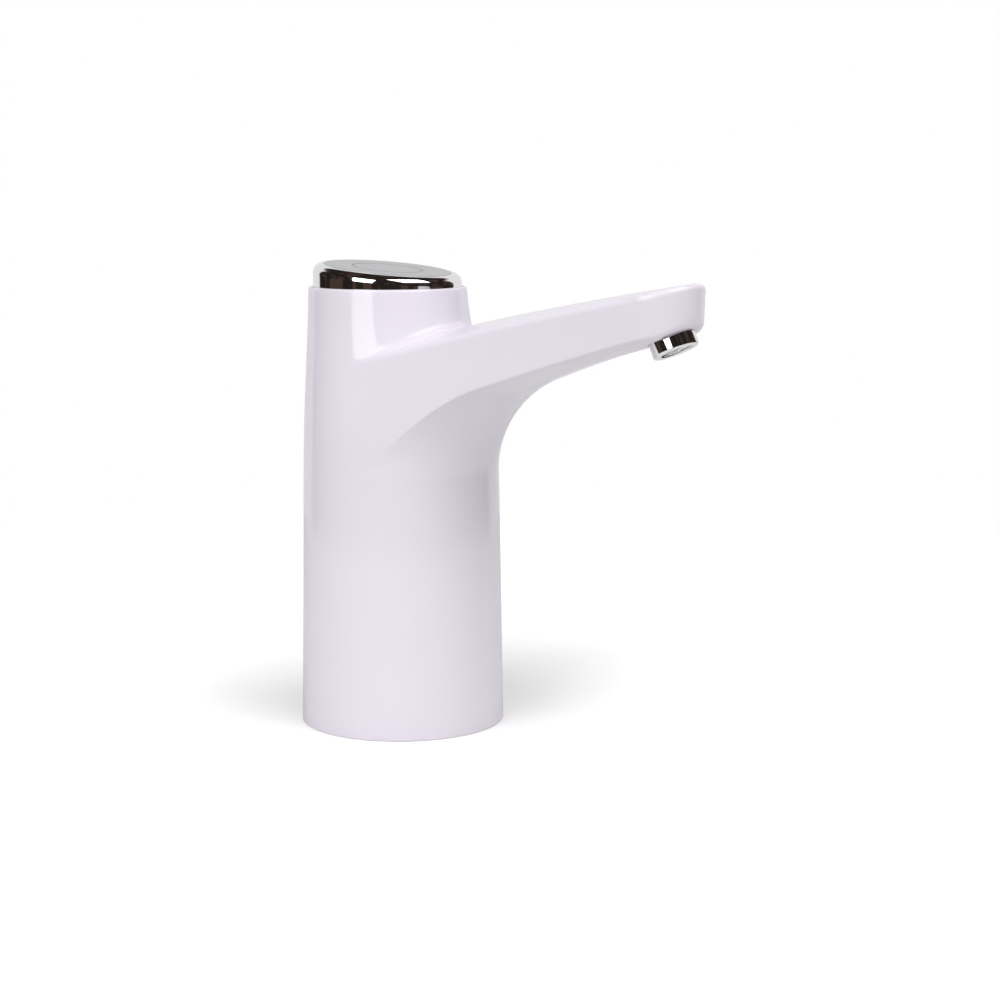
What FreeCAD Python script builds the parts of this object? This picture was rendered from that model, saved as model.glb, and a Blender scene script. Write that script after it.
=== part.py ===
import FreeCAD, Part
import os
from math import acos, asin, cos, exp, hypot, log, pi, radians, sin, sqrt, tan

# Battery-powered dispenser pump that stands on the neck of a water jug.
# Origin: centre of the neck socket's mouth, on the plane the foot stands on.
# +Z is up and +X runs along the arm to the spout. All lengths are millimetres.

V = FreeCAD.Vector

# ---------------------------------------------------------------- driving dimensions
# Clearances
seat_gap = 0.3          # between pieces that lie against each other
slide_gap = 0.3         # round a piece that slides
shaft_gap = 0.05        # round a shaft that turns in its bearing

# Neck socket
neck_diameter = 55.0
neck_clearance = 0.3
neck_bore_depth = 16.0
ring_wall = 2.5
skirt_wall = 1.75       # of the ring above its flange
seal_thickness = 2.0
seal_width = 5.0
seal_undercut = 0.5     # how far the seal's groove reaches behind the bore
flange_thickness = 2.5
flange_opening_radius = 17.5
well_depth = 8.7        # from the flange up to the housing's lower rib

# Housing
wall = 2.4
rib_thickness = 2.5
lower_rib_width = 2.4
upper_rib_width = 4.6
column_draft = 0.016    # radius lost for each millimetre of height
rim_radius = 25.4
rim_setback = 5.25      # how far the rim's centre stands behind the foot's
rim_edge_radius = 0.9
shoulder_below_rim = 44.0
shoulder_softness = 6.0
crown_band = 12.0       # below the rim, where the column stands up straighter again
crown_band_softness = 2.5
crown_band_lean = 0.35  # the band's slope as a share of the shoulder's

# Arm
spout_reach = 97.0      # from the socket's axis to the centre of the round tip, at rim height
spout_tip_radius = 14.0
tip_lean = 0.038        # how far the tip leans out for each millimetre of height
flank_bite = 0.12       # how far the arm's flanks start inside the column
crown_radius = 55.0
ridge_radius = 1300.0
ridge_root_reach = 30.0
ridge_root_below_rim = 11.0
ridge_tip_reach = 108.0
ridge_tip_above_rim = 3.75
arm_edge_radius = 1.8
flare_radius = 32.8     # of the inner corner between column and arm
flare_bite = 0.15
flare_below_rim = 58.7
flare_slope = 22.5      # degrees that the underside rises where the corner runs out
underside_radius = 440.0
belly_drop = 2.1        # how far the underside's middle hangs below its edges, at the tip's centre
belly_growth = 1.5      # power with which the belly grows from the column outward

# Chassis
chassis_thickness = 2.5
post_radius = 3.2
screw_radius = 1.1
screw_head_radius = 2.1
screw_head_height = 1.3
screw_bite = 7.0

# Gear pump
pump_reach = 4.2        # from the socket's axis to the plane of the gears' axes
tooth_module = 1.125
tooth_count = 10
pressure_angle = 25.0
tooth_backlash = 0.32
gear_width = 7.5
gear_end_gap = 0.3
gear_tip_gap = 0.3
pump_wall = 2.6
pump_roof = 3.0
cover_thickness = 3.0
gasket_thickness = 0.5
spigot_radius = 4.0
spigot_bore_radius = 2.6
spigot_length = 10.0
spigot_root_width = 1.2
port_radius = 1.8
idler_pin_radius = 1.5
seal_width_on_shaft = 2.0
roof_floor = 1.0        # of the pump's roof, left under the shaft seal and over the pin
motor_shaft_radius = 1.15
pump_screw_inset = 2.9
pump_corner_radius = 2.6
outlet_reach = 23.0
outlet_bore_radius = 1.4
barb_length = 6.0
hose_bore_radius = 2.6
hose_wall = 1.4

# Motor
motor_radius = 12.2
motor_length = 32.0
can_wall = 0.8
magnet_thickness = 2.2
armature_gap = 0.5
armature_length = 17.0
end_cap_thickness = 3.0
end_cap_lip = 2.0       # height and wall of the lip that locates the end cap in the can
magnet_floor = 3.0      # from the can's floor to the magnets
magnet_overhang = 1.0   # of the magnets past each end of the armature
magnet_split = 6.0
winding_slot_share = 0.2
terminal_spread = 6.0
terminal_width = 2.4
terminal_thickness = 0.5
terminal_height = 3.5
sleeve_wall = 1.0
sleeve_height = 18.0

# Battery
battery_radius = 9.2
battery_length = 65.0
battery_reach = 18.6    # how far the cell stands behind the socket's axis
cell_button_radius = 3.0
cell_button_height = 1.0
cradle_lap = 1.0        # how far the cradle comes round past the cell's middle
contact_thickness = 0.5
holder_wall = 1.4

# Board, charging socket and switch
board_thickness = 1.6
board_radius = 18.0
board_screw_inset = 3.0
board_margin = 1.5      # of board beside the charging socket
socket_width = 8.9
socket_sheet = 0.35
socket_setback = 0.8    # from the housing's outside to the socket's mouth
socket_height = 3.2
socket_depth = 7.4
switch_body_width = 7.0
switch_body_height = 5.2
switch_opening_radius = 5.25
switch_stem_radius = 1.7
switch_floor = 1.0
switch_free_height = 1.5
deck_thickness = 2.0
deck_to_rim = 12.9
deck_screw_length = 4.0
deck_post_wall = 1.2
deck_skin = 0.6         # of deck left over the board's screws
spring_seat_wall = 1.2

# Press cap
cap_gap = 0.3
cap_wall = 1.6
cap_edge_radius = 3.4
cap_centre_above_rim = 5.9
cap_slope = 6.0         # degrees that the cap's top falls towards the arm
cap_skirt_depth = 5.5
cap_travel = 1.5
cap_pocket_depth = 8.0
disc_radius = 20.4
disc_thickness = 0.8
disc_groove_radius = 11.5
disc_groove_width = 0.6
disc_groove_depth = 0.25
cap_boss_radius = 3.4
leg_ring_radius = 15.5
leg_half_width = 1.2
hook_thickness = 0.8
spring_coil_radius = 7.2
spring_wire_radius = 0.45
spring_turns = 4

# Spout
collar_radius = 7.1
collar_height = 4.1
collar_reach = 102.1    # to the middle of the flat seat under the tip
seat_below_rim = 12.3
seat_half_length = 12.0
collar_tilt = 25.0      # degrees that the stream leans outward
collar_bury = 1.2
collar_edge_radius = 0.5
collar_mouth_step = 1.0
collar_neck_radius = 4.8
collar_neck_length = 4.2
collar_bore_radius = 4.0
insert_length = 3.0
insert_wall = 0.7
vane_thickness = 0.6
elbow_radius = 5.6
elbow_roof = 2.4
elbow_lap = 2.5         # of the elbow's bowl over the collar's neck
elbow_bore_depth = 0.8
hose_below_ridge = 8.6  # from the arm's ridge to the hose's corner, over the outlet
hose_end_back = 14.0    # from the collar's seat back to the end of the hose
hose_headroom = 1.4     # over the hose where it meets the elbow
hose_bend_radius = 20.0
clip_wall = 0.8
clip_width = 2.4
clip_setback = 2.0

# ---------------------------------------------------------------- derived sizes
neck_bore_radius = neck_diameter / 2 + neck_clearance
ring_radius = neck_bore_radius + ring_wall
foot_radius = ring_radius + seat_gap + wall
seal_radius = neck_bore_radius + seal_undercut
post_pitch_radius = seal_radius - seal_width - seat_gap - screw_head_radius

groove_top = neck_bore_depth + seal_thickness + seat_gap
flange_top = groove_top + flange_thickness
lower_rib_bottom = flange_top + well_depth
chassis_bottom = lower_rib_bottom + rib_thickness
cover_bottom = chassis_bottom + chassis_thickness
gasket_bottom = cover_bottom + cover_thickness
pump_bottom = gasket_bottom + gasket_thickness
pocket_depth = gear_width + 2 * gear_end_gap
pocket_top = pump_bottom + pocket_depth
pump_top = pocket_top + pump_roof
motor_top = pump_top + motor_length

battery_bottom = pump_top + holder_wall + contact_thickness + seat_gap
battery_top = battery_bottom + battery_length
holder_top = battery_top + contact_thickness + holder_wall
socket_bottom = holder_top + seat_gap
board_bottom = socket_bottom + socket_height
board_top = board_bottom + board_thickness
upper_rib_bottom = board_top + seat_gap
deck_bottom = upper_rib_bottom + rib_thickness
deck_top = deck_bottom + deck_thickness
rim_height = deck_top + deck_to_rim

shoulder_height = rim_height - shoulder_below_rim
flare_height = rim_height - flare_below_rim
ridge_root_height = rim_height - ridge_root_below_rim
ridge_tip_height = rim_height + ridge_tip_above_rim
pitch_radius = tooth_module * tooth_count / 2
hose_radius = hose_bore_radius + hose_wall
cap_floor = rim_height - cap_pocket_depth
cap_skirt_bottom = rim_height - cap_skirt_depth


# ---------------------------------------------------------------- the column's form
def soft_step(height, softness):
    """Zero below zero, then one for one with height, with a soft start."""
    return softness * log(1 + exp(height / softness))


def shoulder_ramp(height):
    """How far the column has leant in: nothing below the shoulder, less and less in the crown band."""
    shoulder = soft_step(height - shoulder_height, shoulder_softness)
    band = soft_step(height - rim_height + crown_band, crown_band_softness)
    return shoulder - (1 - crown_band_lean) * band


lean_in = (foot_radius - column_draft * rim_height - rim_radius) / shoulder_ramp(rim_height)
lean_back = rim_setback / shoulder_ramp(rim_height)


def column_radius(height):
    return foot_radius - column_draft * height - lean_in * shoulder_ramp(height)


def column_centre(height):
    return -lean_back * shoulder_ramp(height)


# ---------------------------------------------------------------- small solids
def cylinder(radius, low, high, x=0.0, y=0.0):
    return Part.makeCylinder(radius, high - low, V(x, y, low))


def tube(outer, inner, low, high, x=0.0, y=0.0):
    return cylinder(outer, low, high, x, y).cut(cylinder(inner, low, high, x, y))


def box(x_low, x_high, y_low, y_high, z_low, z_high):
    return Part.makeBox(x_high - x_low, y_high - y_low, z_high - z_low, V(x_low, y_low, z_low))


def joined(shapes):
    whole = shapes[0]
    for shape in shapes[1:]:
        whole = whole.fuse(shape)
    return whole.removeSplitter()


def around(count, radius, start=0.0):
    """Evenly spaced (x, y) places on a circle about the socket's axis."""
    turns = [radians(start + 360.0 * i / count) for i in range(count)]
    return [(radius * cos(t), radius * sin(t)) for t in turns]


def screw(x, y, head, tip):
    """A plain pan-head screw; the head's seat is at `head` and the shank ends at `tip`."""
    way = 1 if tip > head else -1
    low, high = min(head, tip), max(head, tip)
    shank = cylinder(screw_radius, low, high, x, y)
    cap_low = head - screw_head_height if way > 0 else head
    cap = cylinder(screw_head_radius, cap_low, cap_low + screw_head_height, x, y)
    return shank.fuse(cap)


# ---------------------------------------------------------------- outer form of the housing
def column_form(inset, low, high):
    """The leaning column between two heights, every ring smaller by `inset`."""
    steps = max(3, round((high - low) / 10.0))
    rings = []
    for i in range(steps + 1):
        height = low + (high - low) * i / steps
        ring = Part.makeCircle(column_radius(height) - inset, V(column_centre(height), 0, height))
        rings.append(Part.Wire(ring))
    return Part.makeLoft(rings, True, False)


def tip_centre(height):
    return spout_reach + tip_lean * (height - rim_height)


def flank_angle(height, inset):
    """Direction, from +X, of the flank's outward normal: the common tangent of column and tip."""
    column = column_radius(height) - inset - flank_bite
    tip = spout_tip_radius - inset
    return acos((column - tip) / (tip_centre(height) - column_centre(height)))


def arm_outline(height, inset):
    """Plan of the arm at one height: a flank, the round tip, the other flank and a closing chord."""
    turn = flank_angle(height, inset)
    column = column_radius(height) - inset - flank_bite
    tip = spout_tip_radius - inset
    middle = column_centre(height)
    end = tip_centre(height)
    root_x, root_y = middle + column * cos(turn), column * sin(turn)
    tip_x, tip_y = end + tip * cos(turn), tip * sin(turn)
    root_right, root_left = V(root_x, -root_y, height), V(root_x, root_y, height)
    tip_right, tip_left = V(tip_x, -tip_y, height), V(tip_x, tip_y, height)
    nose = V(end + tip, 0, height)
    edges = [
        Part.LineSegment(root_right, tip_right).toShape(),
        Part.Arc(tip_right, nose, tip_left).toShape(),
        Part.LineSegment(tip_left, root_left).toShape(),
        Part.LineSegment(root_left, root_right).toShape(),
    ]
    return Part.Wire(edges)


def ridge_centre():
    """Centre, in the plane of symmetry, of the long arc that the arm's ridge follows."""
    span_x = ridge_tip_reach - ridge_root_reach
    span_z = ridge_tip_height - ridge_root_height
    chord = hypot(span_x, span_z)
    sag = sqrt(ridge_radius ** 2 - chord ** 2 / 4)
    middle_x = (ridge_root_reach + ridge_tip_reach) / 2
    middle_z = (ridge_root_height + ridge_tip_height) / 2
    return middle_x + sag * span_z / chord, middle_z - sag * span_x / chord


def arm_top_height(x, y=0.0):
    """Height of the arm's crowned top surface over a place in plan."""
    centre_x, centre_z = ridge_centre()
    crown_middle = ridge_radius - crown_radius
    lift = sqrt(crown_radius ** 2 - y ** 2)
    return centre_z + sqrt((crown_middle + lift) ** 2 - (x - centre_x) ** 2)


def underside_profile(inset):
    """Radius, height and belly share along the underside, from the column out past the tip."""
    start = column_radius(flare_height) - flare_bite
    slope = radians(flare_slope)
    corner_r, corner_z = start + flare_radius, flare_height
    corner_steps, run_steps = 8, 6
    points = []
    for i in range(corner_steps + 1):
        turn = (pi / 2 - slope) * i / corner_steps
        reach = flare_radius + inset
        points.append((corner_r - reach * cos(turn), corner_z + reach * sin(turn)))
    run_r = corner_r + (underside_radius - flare_radius) * sin(slope)
    run_z = corner_z - (underside_radius - flare_radius) * cos(slope)
    last_slope = asin((run_r - spout_reach - 2 * spout_tip_radius) / underside_radius)
    for i in range(1, run_steps + 1):
        turn = slope + (last_slope - slope) * i / run_steps
        reach = underside_radius + inset
        points.append((run_r - reach * sin(turn), run_z + reach * cos(turn)))
    full = spout_reach - start
    return [(r, z, (max(0.0, r - start + inset) / full) ** belly_growth) for r, z in points]


def half_fan(radius, inset):
    """Angle at the column's axis between the arm's middle and its flank, at one radius."""
    turn = flank_angle(flare_height, inset)
    column = column_radius(flare_height) - inset - flank_bite
    middle = column_centre(flare_height)
    tangent_x = tip_centre(flare_height) + (spout_tip_radius - inset) * cos(turn) - middle
    if radius * cos(turn - acos(min(1.0, column / radius))) < tangent_x:
        return turn - acos(min(1.0, column / radius))
    return asin(min(1.0, (spout_tip_radius - inset) / radius))


def seat_cutter(inset):
    """Everything below the flat seat under the tip, which stands square to the stream."""
    deep = 2 * spout_tip_radius
    block = Part.makeBox(
        seat_half_length + deep, 2 * deep, deep, V(-seat_half_length, -deep, inset - deep))
    block.rotate(V(0, 0, 0), V(0, 1, 0), -collar_tilt)
    block.translate(V(collar_reach, 0, rim_height - seat_below_rim))
    return block


def underside_cutter(inset):
    """Everything below the arm: a fan of points under the arm, made a surface and run down."""
    fan_margin = 1.15
    fan_steps = 6
    middle = column_centre(flare_height)
    rows = []
    for radius, height, belly in underside_profile(inset):
        row = []
        for i in range(-fan_steps, fan_steps + 1):
            across = fan_margin * i / fan_steps
            angle = half_fan(max(radius, column_radius(flare_height)), inset) * across
            drop = belly_drop * belly * (1 - across ** 2)
            row.append(V(middle + radius * cos(angle), radius * sin(angle), height - drop))
        rows.append(row)
    surface = Part.BSplineSurface()
    surface.interpolate(rows)
    return surface.toShape().extrude(V(0, 0, -1.5 * rim_height))


def arm_form(inset, edge_radius):
    """The arm by itself: drafted plan, crowned top and flared underside."""
    arm_low = flare_height - 0.4 * flare_radius
    arm_high = ridge_tip_height + crown_radius / 4
    levels = 6
    outlines = []
    for i in range(levels + 1):
        outlines.append(arm_outline(arm_low + (arm_high - arm_low) * i / levels, inset))
    block = Part.makeLoft(outlines, True, False)
    centre_x, centre_z = ridge_centre()
    crown = Part.makeTorus(
        ridge_radius - crown_radius, crown_radius - inset, V(centre_x, 0, centre_z), V(0, 1, 0))
    arm = block.common(crown)
    if edge_radius > 0:
        arm = arm.makeFillet(edge_radius, top_edges(arm, inset))
    return arm.cut(underside_cutter(inset)).cut(seat_cutter(inset))


def top_edges(arm, inset):
    """The arm's upper edges along both flanks and round the tip."""
    found = []
    for edge in arm.Edges:
        middle = edge.valueAt((edge.FirstParameter + edge.LastParameter) / 2)
        on_top = abs(middle.z - arm_top_height(middle.x, middle.y) + inset) < 0.5
        if on_top and middle.x > column_radius(rim_height) * 0.5:
            found.append(edge)
    return found


def body_form(inset, edge_radius=0.0):
    """Column and arm as one solid, `inset` inside the housing's outer surface."""
    column = column_form(inset, -inset, rim_height + inset)
    if edge_radius > 0:
        rim = [e for e in column.Edges if e.BoundBox.ZMin > rim_height - 0.1]
        column = column.makeFillet(rim_edge_radius, rim)
    return column.fuse(arm_form(inset, edge_radius))


# ---------------------------------------------------------------- housing shells
def rib(low, width):
    """Ring of wall inside the column: from within the wall to `width` inside it."""
    high = low + rib_thickness
    inner = column_radius(high) - wall - width
    disc = column_form(wall / 2, low, high)
    return disc.cut(cylinder(inner, low - 1, high + 1, column_centre(high)))


def cap_pocket():
    """Round pocket in the rim that the press cap sinks into."""
    return cylinder(rim_radius - wall / 2, cap_floor, rim_height + 1, column_centre(rim_height))


def spout_axis():
    """Middle of the flat seat under the tip, and the way the water goes."""
    tilt = radians(collar_tilt)
    return V(collar_reach, 0, rim_height - seat_below_rim), V(sin(tilt), 0, -cos(tilt))


def along_spout(radius, start, end, inner=0.0):
    """Round solid on the spout's axis, between two distances along the stream."""
    place, way = spout_axis()
    solid = Part.makeCylinder(radius, end - start, place + way * start, way)
    if inner > 0:
        solid = solid.cut(Part.makeCylinder(inner, end - start, place + way * start, way))
    return solid


def socket_opening():
    """Hole in the back wall for the charging socket: a slot with round ends."""
    half = socket_height / 2 + slide_gap
    middle = socket_bottom + socket_height / 2
    spread = socket_width / 2 - socket_height / 2
    back = column_centre(middle) - column_radius(middle) - wall
    slot = box(back, back + 4 * wall, -spread, spread, middle - half, middle + half)
    for side in (-1, 1):
        end = Part.makeCylinder(half, 4 * wall, V(back, side * spread, middle), V(1, 0, 0))
        slot = slot.fuse(end)
    return slot


def housing():
    """The whole housing before it is parted: walls, ribs, pocket and openings."""
    outer = body_form(0.0, arm_edge_radius)
    inner = body_form(wall)
    shell = outer.cut(inner)
    shell = shell.fuse(rib(lower_rib_bottom, lower_rib_width))
    shell = shell.fuse(rib(upper_rib_bottom, upper_rib_width))
    shell = shell.cut(cap_pocket())
    shell = shell.cut(along_spout(collar_radius + slide_gap / 2, -collar_bury, collar_height))
    shell = shell.cut(along_spout(collar_neck_radius + slide_gap, -3 * wall, 0))
    for x, y in deck_screw_places():
        shell = shell.cut(cylinder(screw_radius, deck_top - deck_screw_length, deck_bottom, x, y))
    return shell.cut(socket_opening())


def half_space(side):
    far = 2 * rim_height
    low, high = (0, far) if side > 0 else (-far, 0)
    return box(-far, far, low, high, -far, far)


# ---------------------------------------------------------------- neck ring
def neck_ring():
    """Ring over the jug's neck: bore, groove for the seal and screw flange above it."""
    groove_radius = seal_radius + seat_gap
    top_radius = column_radius(lower_rib_bottom) - wall - seat_gap
    body = Part.makeCone(ring_radius, top_radius, lower_rib_bottom, V(0, 0, 0))
    body = body.cut(cylinder(neck_bore_radius, 0, neck_bore_depth))
    body = body.cut(cylinder(groove_radius, neck_bore_depth, groove_top))
    body = body.cut(cylinder(flange_opening_radius, groove_top, flange_top))
    body = body.cut(cylinder(top_radius - skirt_wall, flange_top, lower_rib_bottom))
    for x, y in around(3, post_pitch_radius, 30):
        body = body.cut(cylinder(screw_radius + shaft_gap, groove_top, flange_top, x, y))
    return body


def neck_seal():
    inner = seal_radius - seal_width
    return tube(seal_radius, inner, neck_bore_depth + seat_gap, groove_top)


def neck_screws():
    tip = flange_top + screw_bite
    return [screw(x, y, groove_top, tip) for x, y in around(3, post_pitch_radius, 30)]


# ---------------------------------------------------------------- chassis
def pump_screw_places():
    half_x, half_y = pump_half_sizes()
    x_low, x_high = pump_reach - half_x + pump_screw_inset, pump_reach + half_x - pump_screw_inset
    y = half_y - pump_screw_inset
    return [(x_low, -y), (x_low, y), (x_high, -y), (x_high, y)]


def chassis():
    """Plate that carries the works, with three posts down to the neck ring's flange."""
    radius = column_radius(cover_bottom) - wall - seat_gap
    plate = cylinder(radius, chassis_bottom, cover_bottom)
    for x, y in around(3, post_pitch_radius, 30):
        plate = plate.fuse(cylinder(post_radius, flange_top, chassis_bottom, x, y))
    spigot_way = spigot_radius + spigot_root_width + seat_gap
    plate = plate.cut(cylinder(spigot_way, chassis_bottom, cover_bottom))
    for x, y in around(3, post_pitch_radius, 30):
        plate = plate.cut(cylinder(screw_radius, flange_top, flange_top + screw_bite, x, y))
    for x, y in pump_screw_places():
        plate = plate.cut(cylinder(screw_radius + shaft_gap, chassis_bottom, cover_bottom, x, y))
    return plate


# ---------------------------------------------------------------- gear pump
def gear(centre_y, start, bore, phase):
    """Spur gear with involute flanks; one tooth's middle points along `phase` degrees."""
    pitch = pitch_radius
    base = pitch * cos(radians(pressure_angle))
    tip = pitch + tooth_module
    root = pitch - 1.25 * tooth_module
    half_tooth = (pi * tooth_module / 2 - tooth_backlash) / 2 / pitch

    def involute(radius):
        roll = acos(min(1.0, base / radius))
        return tan(roll) - roll

    def at(radius, angle):
        return V(radius * cos(angle), radius * sin(angle), 0)

    at_pitch = involute(pitch)
    edges = []
    flank_steps = 4
    radii = [base + (tip - base) * i / flank_steps for i in range(flank_steps + 1)]
    for tooth in range(tooth_count):
        middle = radians(phase) + 2 * pi * tooth / tooth_count
        following = middle + 2 * pi / tooth_count
        rising = [at(r, middle - half_tooth - at_pitch + involute(r)) for r in radii]
        falling = [at(r, middle + half_tooth + at_pitch - involute(r)) for r in reversed(radii)]
        root_half = half_tooth + at_pitch
        foot_in = at(root, middle - root_half)
        foot_out = at(root, middle + root_half)
        next_foot = at(root, following - root_half)
        valley = at(root, (middle + following) / 2)
        for flank in (rising, falling):
            curve = Part.BSplineCurve()
            curve.interpolate(flank)
            edges.append(curve.toShape())
        edges.append(Part.LineSegment(foot_in, rising[0]).toShape())
        edges.append(Part.Arc(rising[-1], at(tip, middle), falling[0]).toShape())
        edges.append(Part.LineSegment(falling[-1], foot_out).toShape())
        edges.append(Part.Arc(foot_out, valley, next_foot).toShape())
    outline = Part.Wire(Part.__sortEdges__(edges))
    solid = Part.Face(outline).extrude(V(0, 0, gear_width))
    solid.translate(V(pump_reach, centre_y, start))
    return solid.cut(cylinder(bore, start, start + gear_width, pump_reach, centre_y))


def pump_half_sizes():
    tip = pitch_radius + tooth_module + gear_tip_gap
    return tip + pump_wall, pitch_radius + tip + pump_wall


def pump_outline(low, high):
    """The pump's block, with the ear that carries the outlet."""
    half_x, half_y = pump_half_sizes()
    x_low, x_high = pump_reach - half_x, pump_reach + half_x
    block = box(x_low, x_high, -half_y, half_y, low, high)
    corners = [e for e in block.Edges if abs(e.Length - (high - low)) < 1e-6]
    block = block.makeFillet(pump_corner_radius, corners)
    ear_half = port_radius + pump_wall
    ear = box(x_high - 1, outlet_reach, -ear_half, ear_half, low, high)
    return joined([block, ear, cylinder(ear_half, low, high, outlet_reach)])


def pump_cover():
    """Bottom plate of the pump, with the spigot that the suction hose pushes on to."""
    plate = pump_outline(cover_bottom, gasket_bottom)
    spigot_end = chassis_bottom - spigot_length
    spigot = cylinder(spigot_radius, spigot_end, chassis_bottom)
    root = cylinder(spigot_radius + spigot_root_width, chassis_bottom, cover_bottom)
    cover = joined([plate, root, spigot])
    cover = cover.cut(cylinder(spigot_bore_radius, spigot_end, cover_bottom))
    cover = cover.cut(cylinder(port_radius, cover_bottom, gasket_bottom))
    for x, y in pump_screw_places():
        cover = cover.cut(cylinder(screw_radius + shaft_gap, cover_bottom, gasket_bottom, x, y))
    return cover


def gear_pockets(low, high):
    radius = pitch_radius + tooth_module + gear_tip_gap
    return joined([cylinder(radius, low, high, pump_reach, side * pitch_radius) for side in (-1, 1)])


def pump_gasket():
    """Thin ring of rubber between cover and body, open over the gears and the screws."""
    sheet = pump_outline(gasket_bottom, pump_bottom)
    sheet = sheet.cut(gear_pockets(gasket_bottom, pump_bottom))
    sheet = sheet.cut(inlet_reach_slot(gasket_bottom, pump_bottom))
    for x, y in pump_screw_places():
        sheet = sheet.cut(cylinder(screw_radius + shaft_gap, gasket_bottom, pump_bottom, x, y))
    return sheet


def inlet_reach_slot(low, high):
    """Water's way from the inlet in the cover into the meshing teeth."""
    return joined([
        cylinder(port_radius, low, high),
        box(0, pump_reach - 2, -port_radius, port_radius, low, high)])


def pump_body():
    """Block with two meeting pockets for the gears, the inlet and the way to the outlet barb."""
    body = pump_outline(pump_bottom, pump_top)
    barb = cylinder(hose_bore_radius, pump_top, pump_top + barb_length, outlet_reach)
    body = joined([body, barb])
    body = body.cut(gear_pockets(pump_bottom, pocket_top))
    body = body.cut(inlet_reach_slot(pump_bottom, pocket_top))
    channel_height = pump_bottom + pocket_depth / 2
    channel = Part.makeCylinder(
        port_radius, outlet_reach - pump_reach, V(pump_reach, 0, channel_height), V(1, 0, 0))
    body = body.cut(channel)
    body = body.cut(cylinder(
        outlet_bore_radius, channel_height, pump_top + barb_length, outlet_reach))
    seal_seat = cylinder(
        motor_shaft_radius + seal_width_on_shaft, pocket_top + roof_floor, pump_top,
        pump_reach, pitch_radius)
    shaft_way = cylinder(
        motor_shaft_radius + slide_gap, pocket_top, pump_top, pump_reach, pitch_radius)
    body = body.cut(seal_seat).cut(shaft_way)
    pin_seat = cylinder(
        idler_pin_radius, pocket_top, pump_top - roof_floor, pump_reach, -pitch_radius)
    body = body.cut(pin_seat)
    for x, y in pump_screw_places():
        body = body.cut(cylinder(screw_radius, pump_bottom, pump_bottom + screw_bite, x, y))
    return body


def shaft_seal():
    return tube(
        motor_shaft_radius + seal_width_on_shaft, motor_shaft_radius + shaft_gap,
        pocket_top + roof_floor, pump_top, pump_reach, pitch_radius)


def idler_pin():
    return cylinder(
        idler_pin_radius, gasket_bottom, pump_top - roof_floor, pump_reach, -pitch_radius)


def pump_screws():
    tip = pump_bottom + screw_bite
    return [screw(x, y, chassis_bottom, tip) for x, y in pump_screw_places()]


# ---------------------------------------------------------------- motor
def on_motor(outer, inner, low, high):
    if inner <= 0:
        return cylinder(outer, low, high, pump_reach, pitch_radius)
    return tube(outer, inner, low, high, pump_reach, pitch_radius)


def motor_can():
    """Drawn steel can with its bearing boss, open at the top for the end cap."""
    can = on_motor(motor_radius, motor_radius - can_wall, pump_top, motor_top - end_cap_thickness)
    floor = on_motor(motor_radius, motor_shaft_radius + shaft_gap, pump_top, pump_top + can_wall)
    return joined([can, floor])


def motor_magnets():
    """Two curved magnets inside the can, one on each side."""
    outer = motor_radius - can_wall
    low = pump_top + can_wall + magnet_floor
    high = low + armature_length + 2 * magnet_overhang
    ring = on_motor(outer, outer - magnet_thickness, low, high)
    split = magnet_split / 2
    gap = box(
        pump_reach - split, pump_reach + split, pitch_radius - outer, pitch_radius + outer,
        low, high)
    return ring.cut(gap)


def armature_radius():
    return motor_radius - can_wall - magnet_thickness - armature_gap


def motor_armature():
    """Three-pole core: a round stack with three winding slots."""
    low = pump_top + can_wall + magnet_floor + magnet_overhang
    high = low + armature_length
    core = on_motor(armature_radius(), motor_shaft_radius, low, high)
    slot_radius = armature_radius() * winding_slot_share
    slot_ring = (armature_radius() + motor_shaft_radius) / 2 + slot_radius / 2
    for x, y in around(3, slot_ring, 60):
        slot = cylinder(slot_radius, low, high, pump_reach + x, pitch_radius + y)
        core = core.cut(slot)
    return core


def motor_shaft():
    return on_motor(motor_shaft_radius, 0, pump_bottom + gear_end_gap, motor_top)


def motor_end_cap():
    """Plastic cap that closes the can and holds the upper bearing and the brushes."""
    low = motor_top - end_cap_thickness
    flange = on_motor(motor_radius, motor_shaft_radius + shaft_gap, low, motor_top)
    lip_outer = motor_radius - can_wall - shaft_gap
    lip = on_motor(lip_outer, lip_outer - end_cap_lip, low - end_cap_lip, low)
    return joined([flange, lip])


def motor_terminals():
    """Two blade terminals standing on the end cap."""
    tabs = []
    for side in (-1, 1):
        x = pump_reach + side * terminal_spread
        half_x, half_y = terminal_width / 2, terminal_thickness / 2
        tabs.append(box(
            x - half_x, x + half_x, pitch_radius - half_y, pitch_radius + half_y,
            motor_top, motor_top + terminal_height))
    return tabs


def motor_sleeve():
    """Rubber sleeve that quiets the motor; it stands on the pump body."""
    return on_motor(motor_radius + sleeve_wall, motor_radius, pump_top, pump_top + sleeve_height)


# ---------------------------------------------------------------- battery
def battery_cell():
    """Round cell with its raised positive button."""
    shoulder = battery_top - cell_button_height
    can = cylinder(battery_radius, battery_bottom, shoulder, -battery_reach)
    button = cylinder(cell_button_radius, shoulder, battery_top, -battery_reach)
    return joined([can, button])


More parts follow.
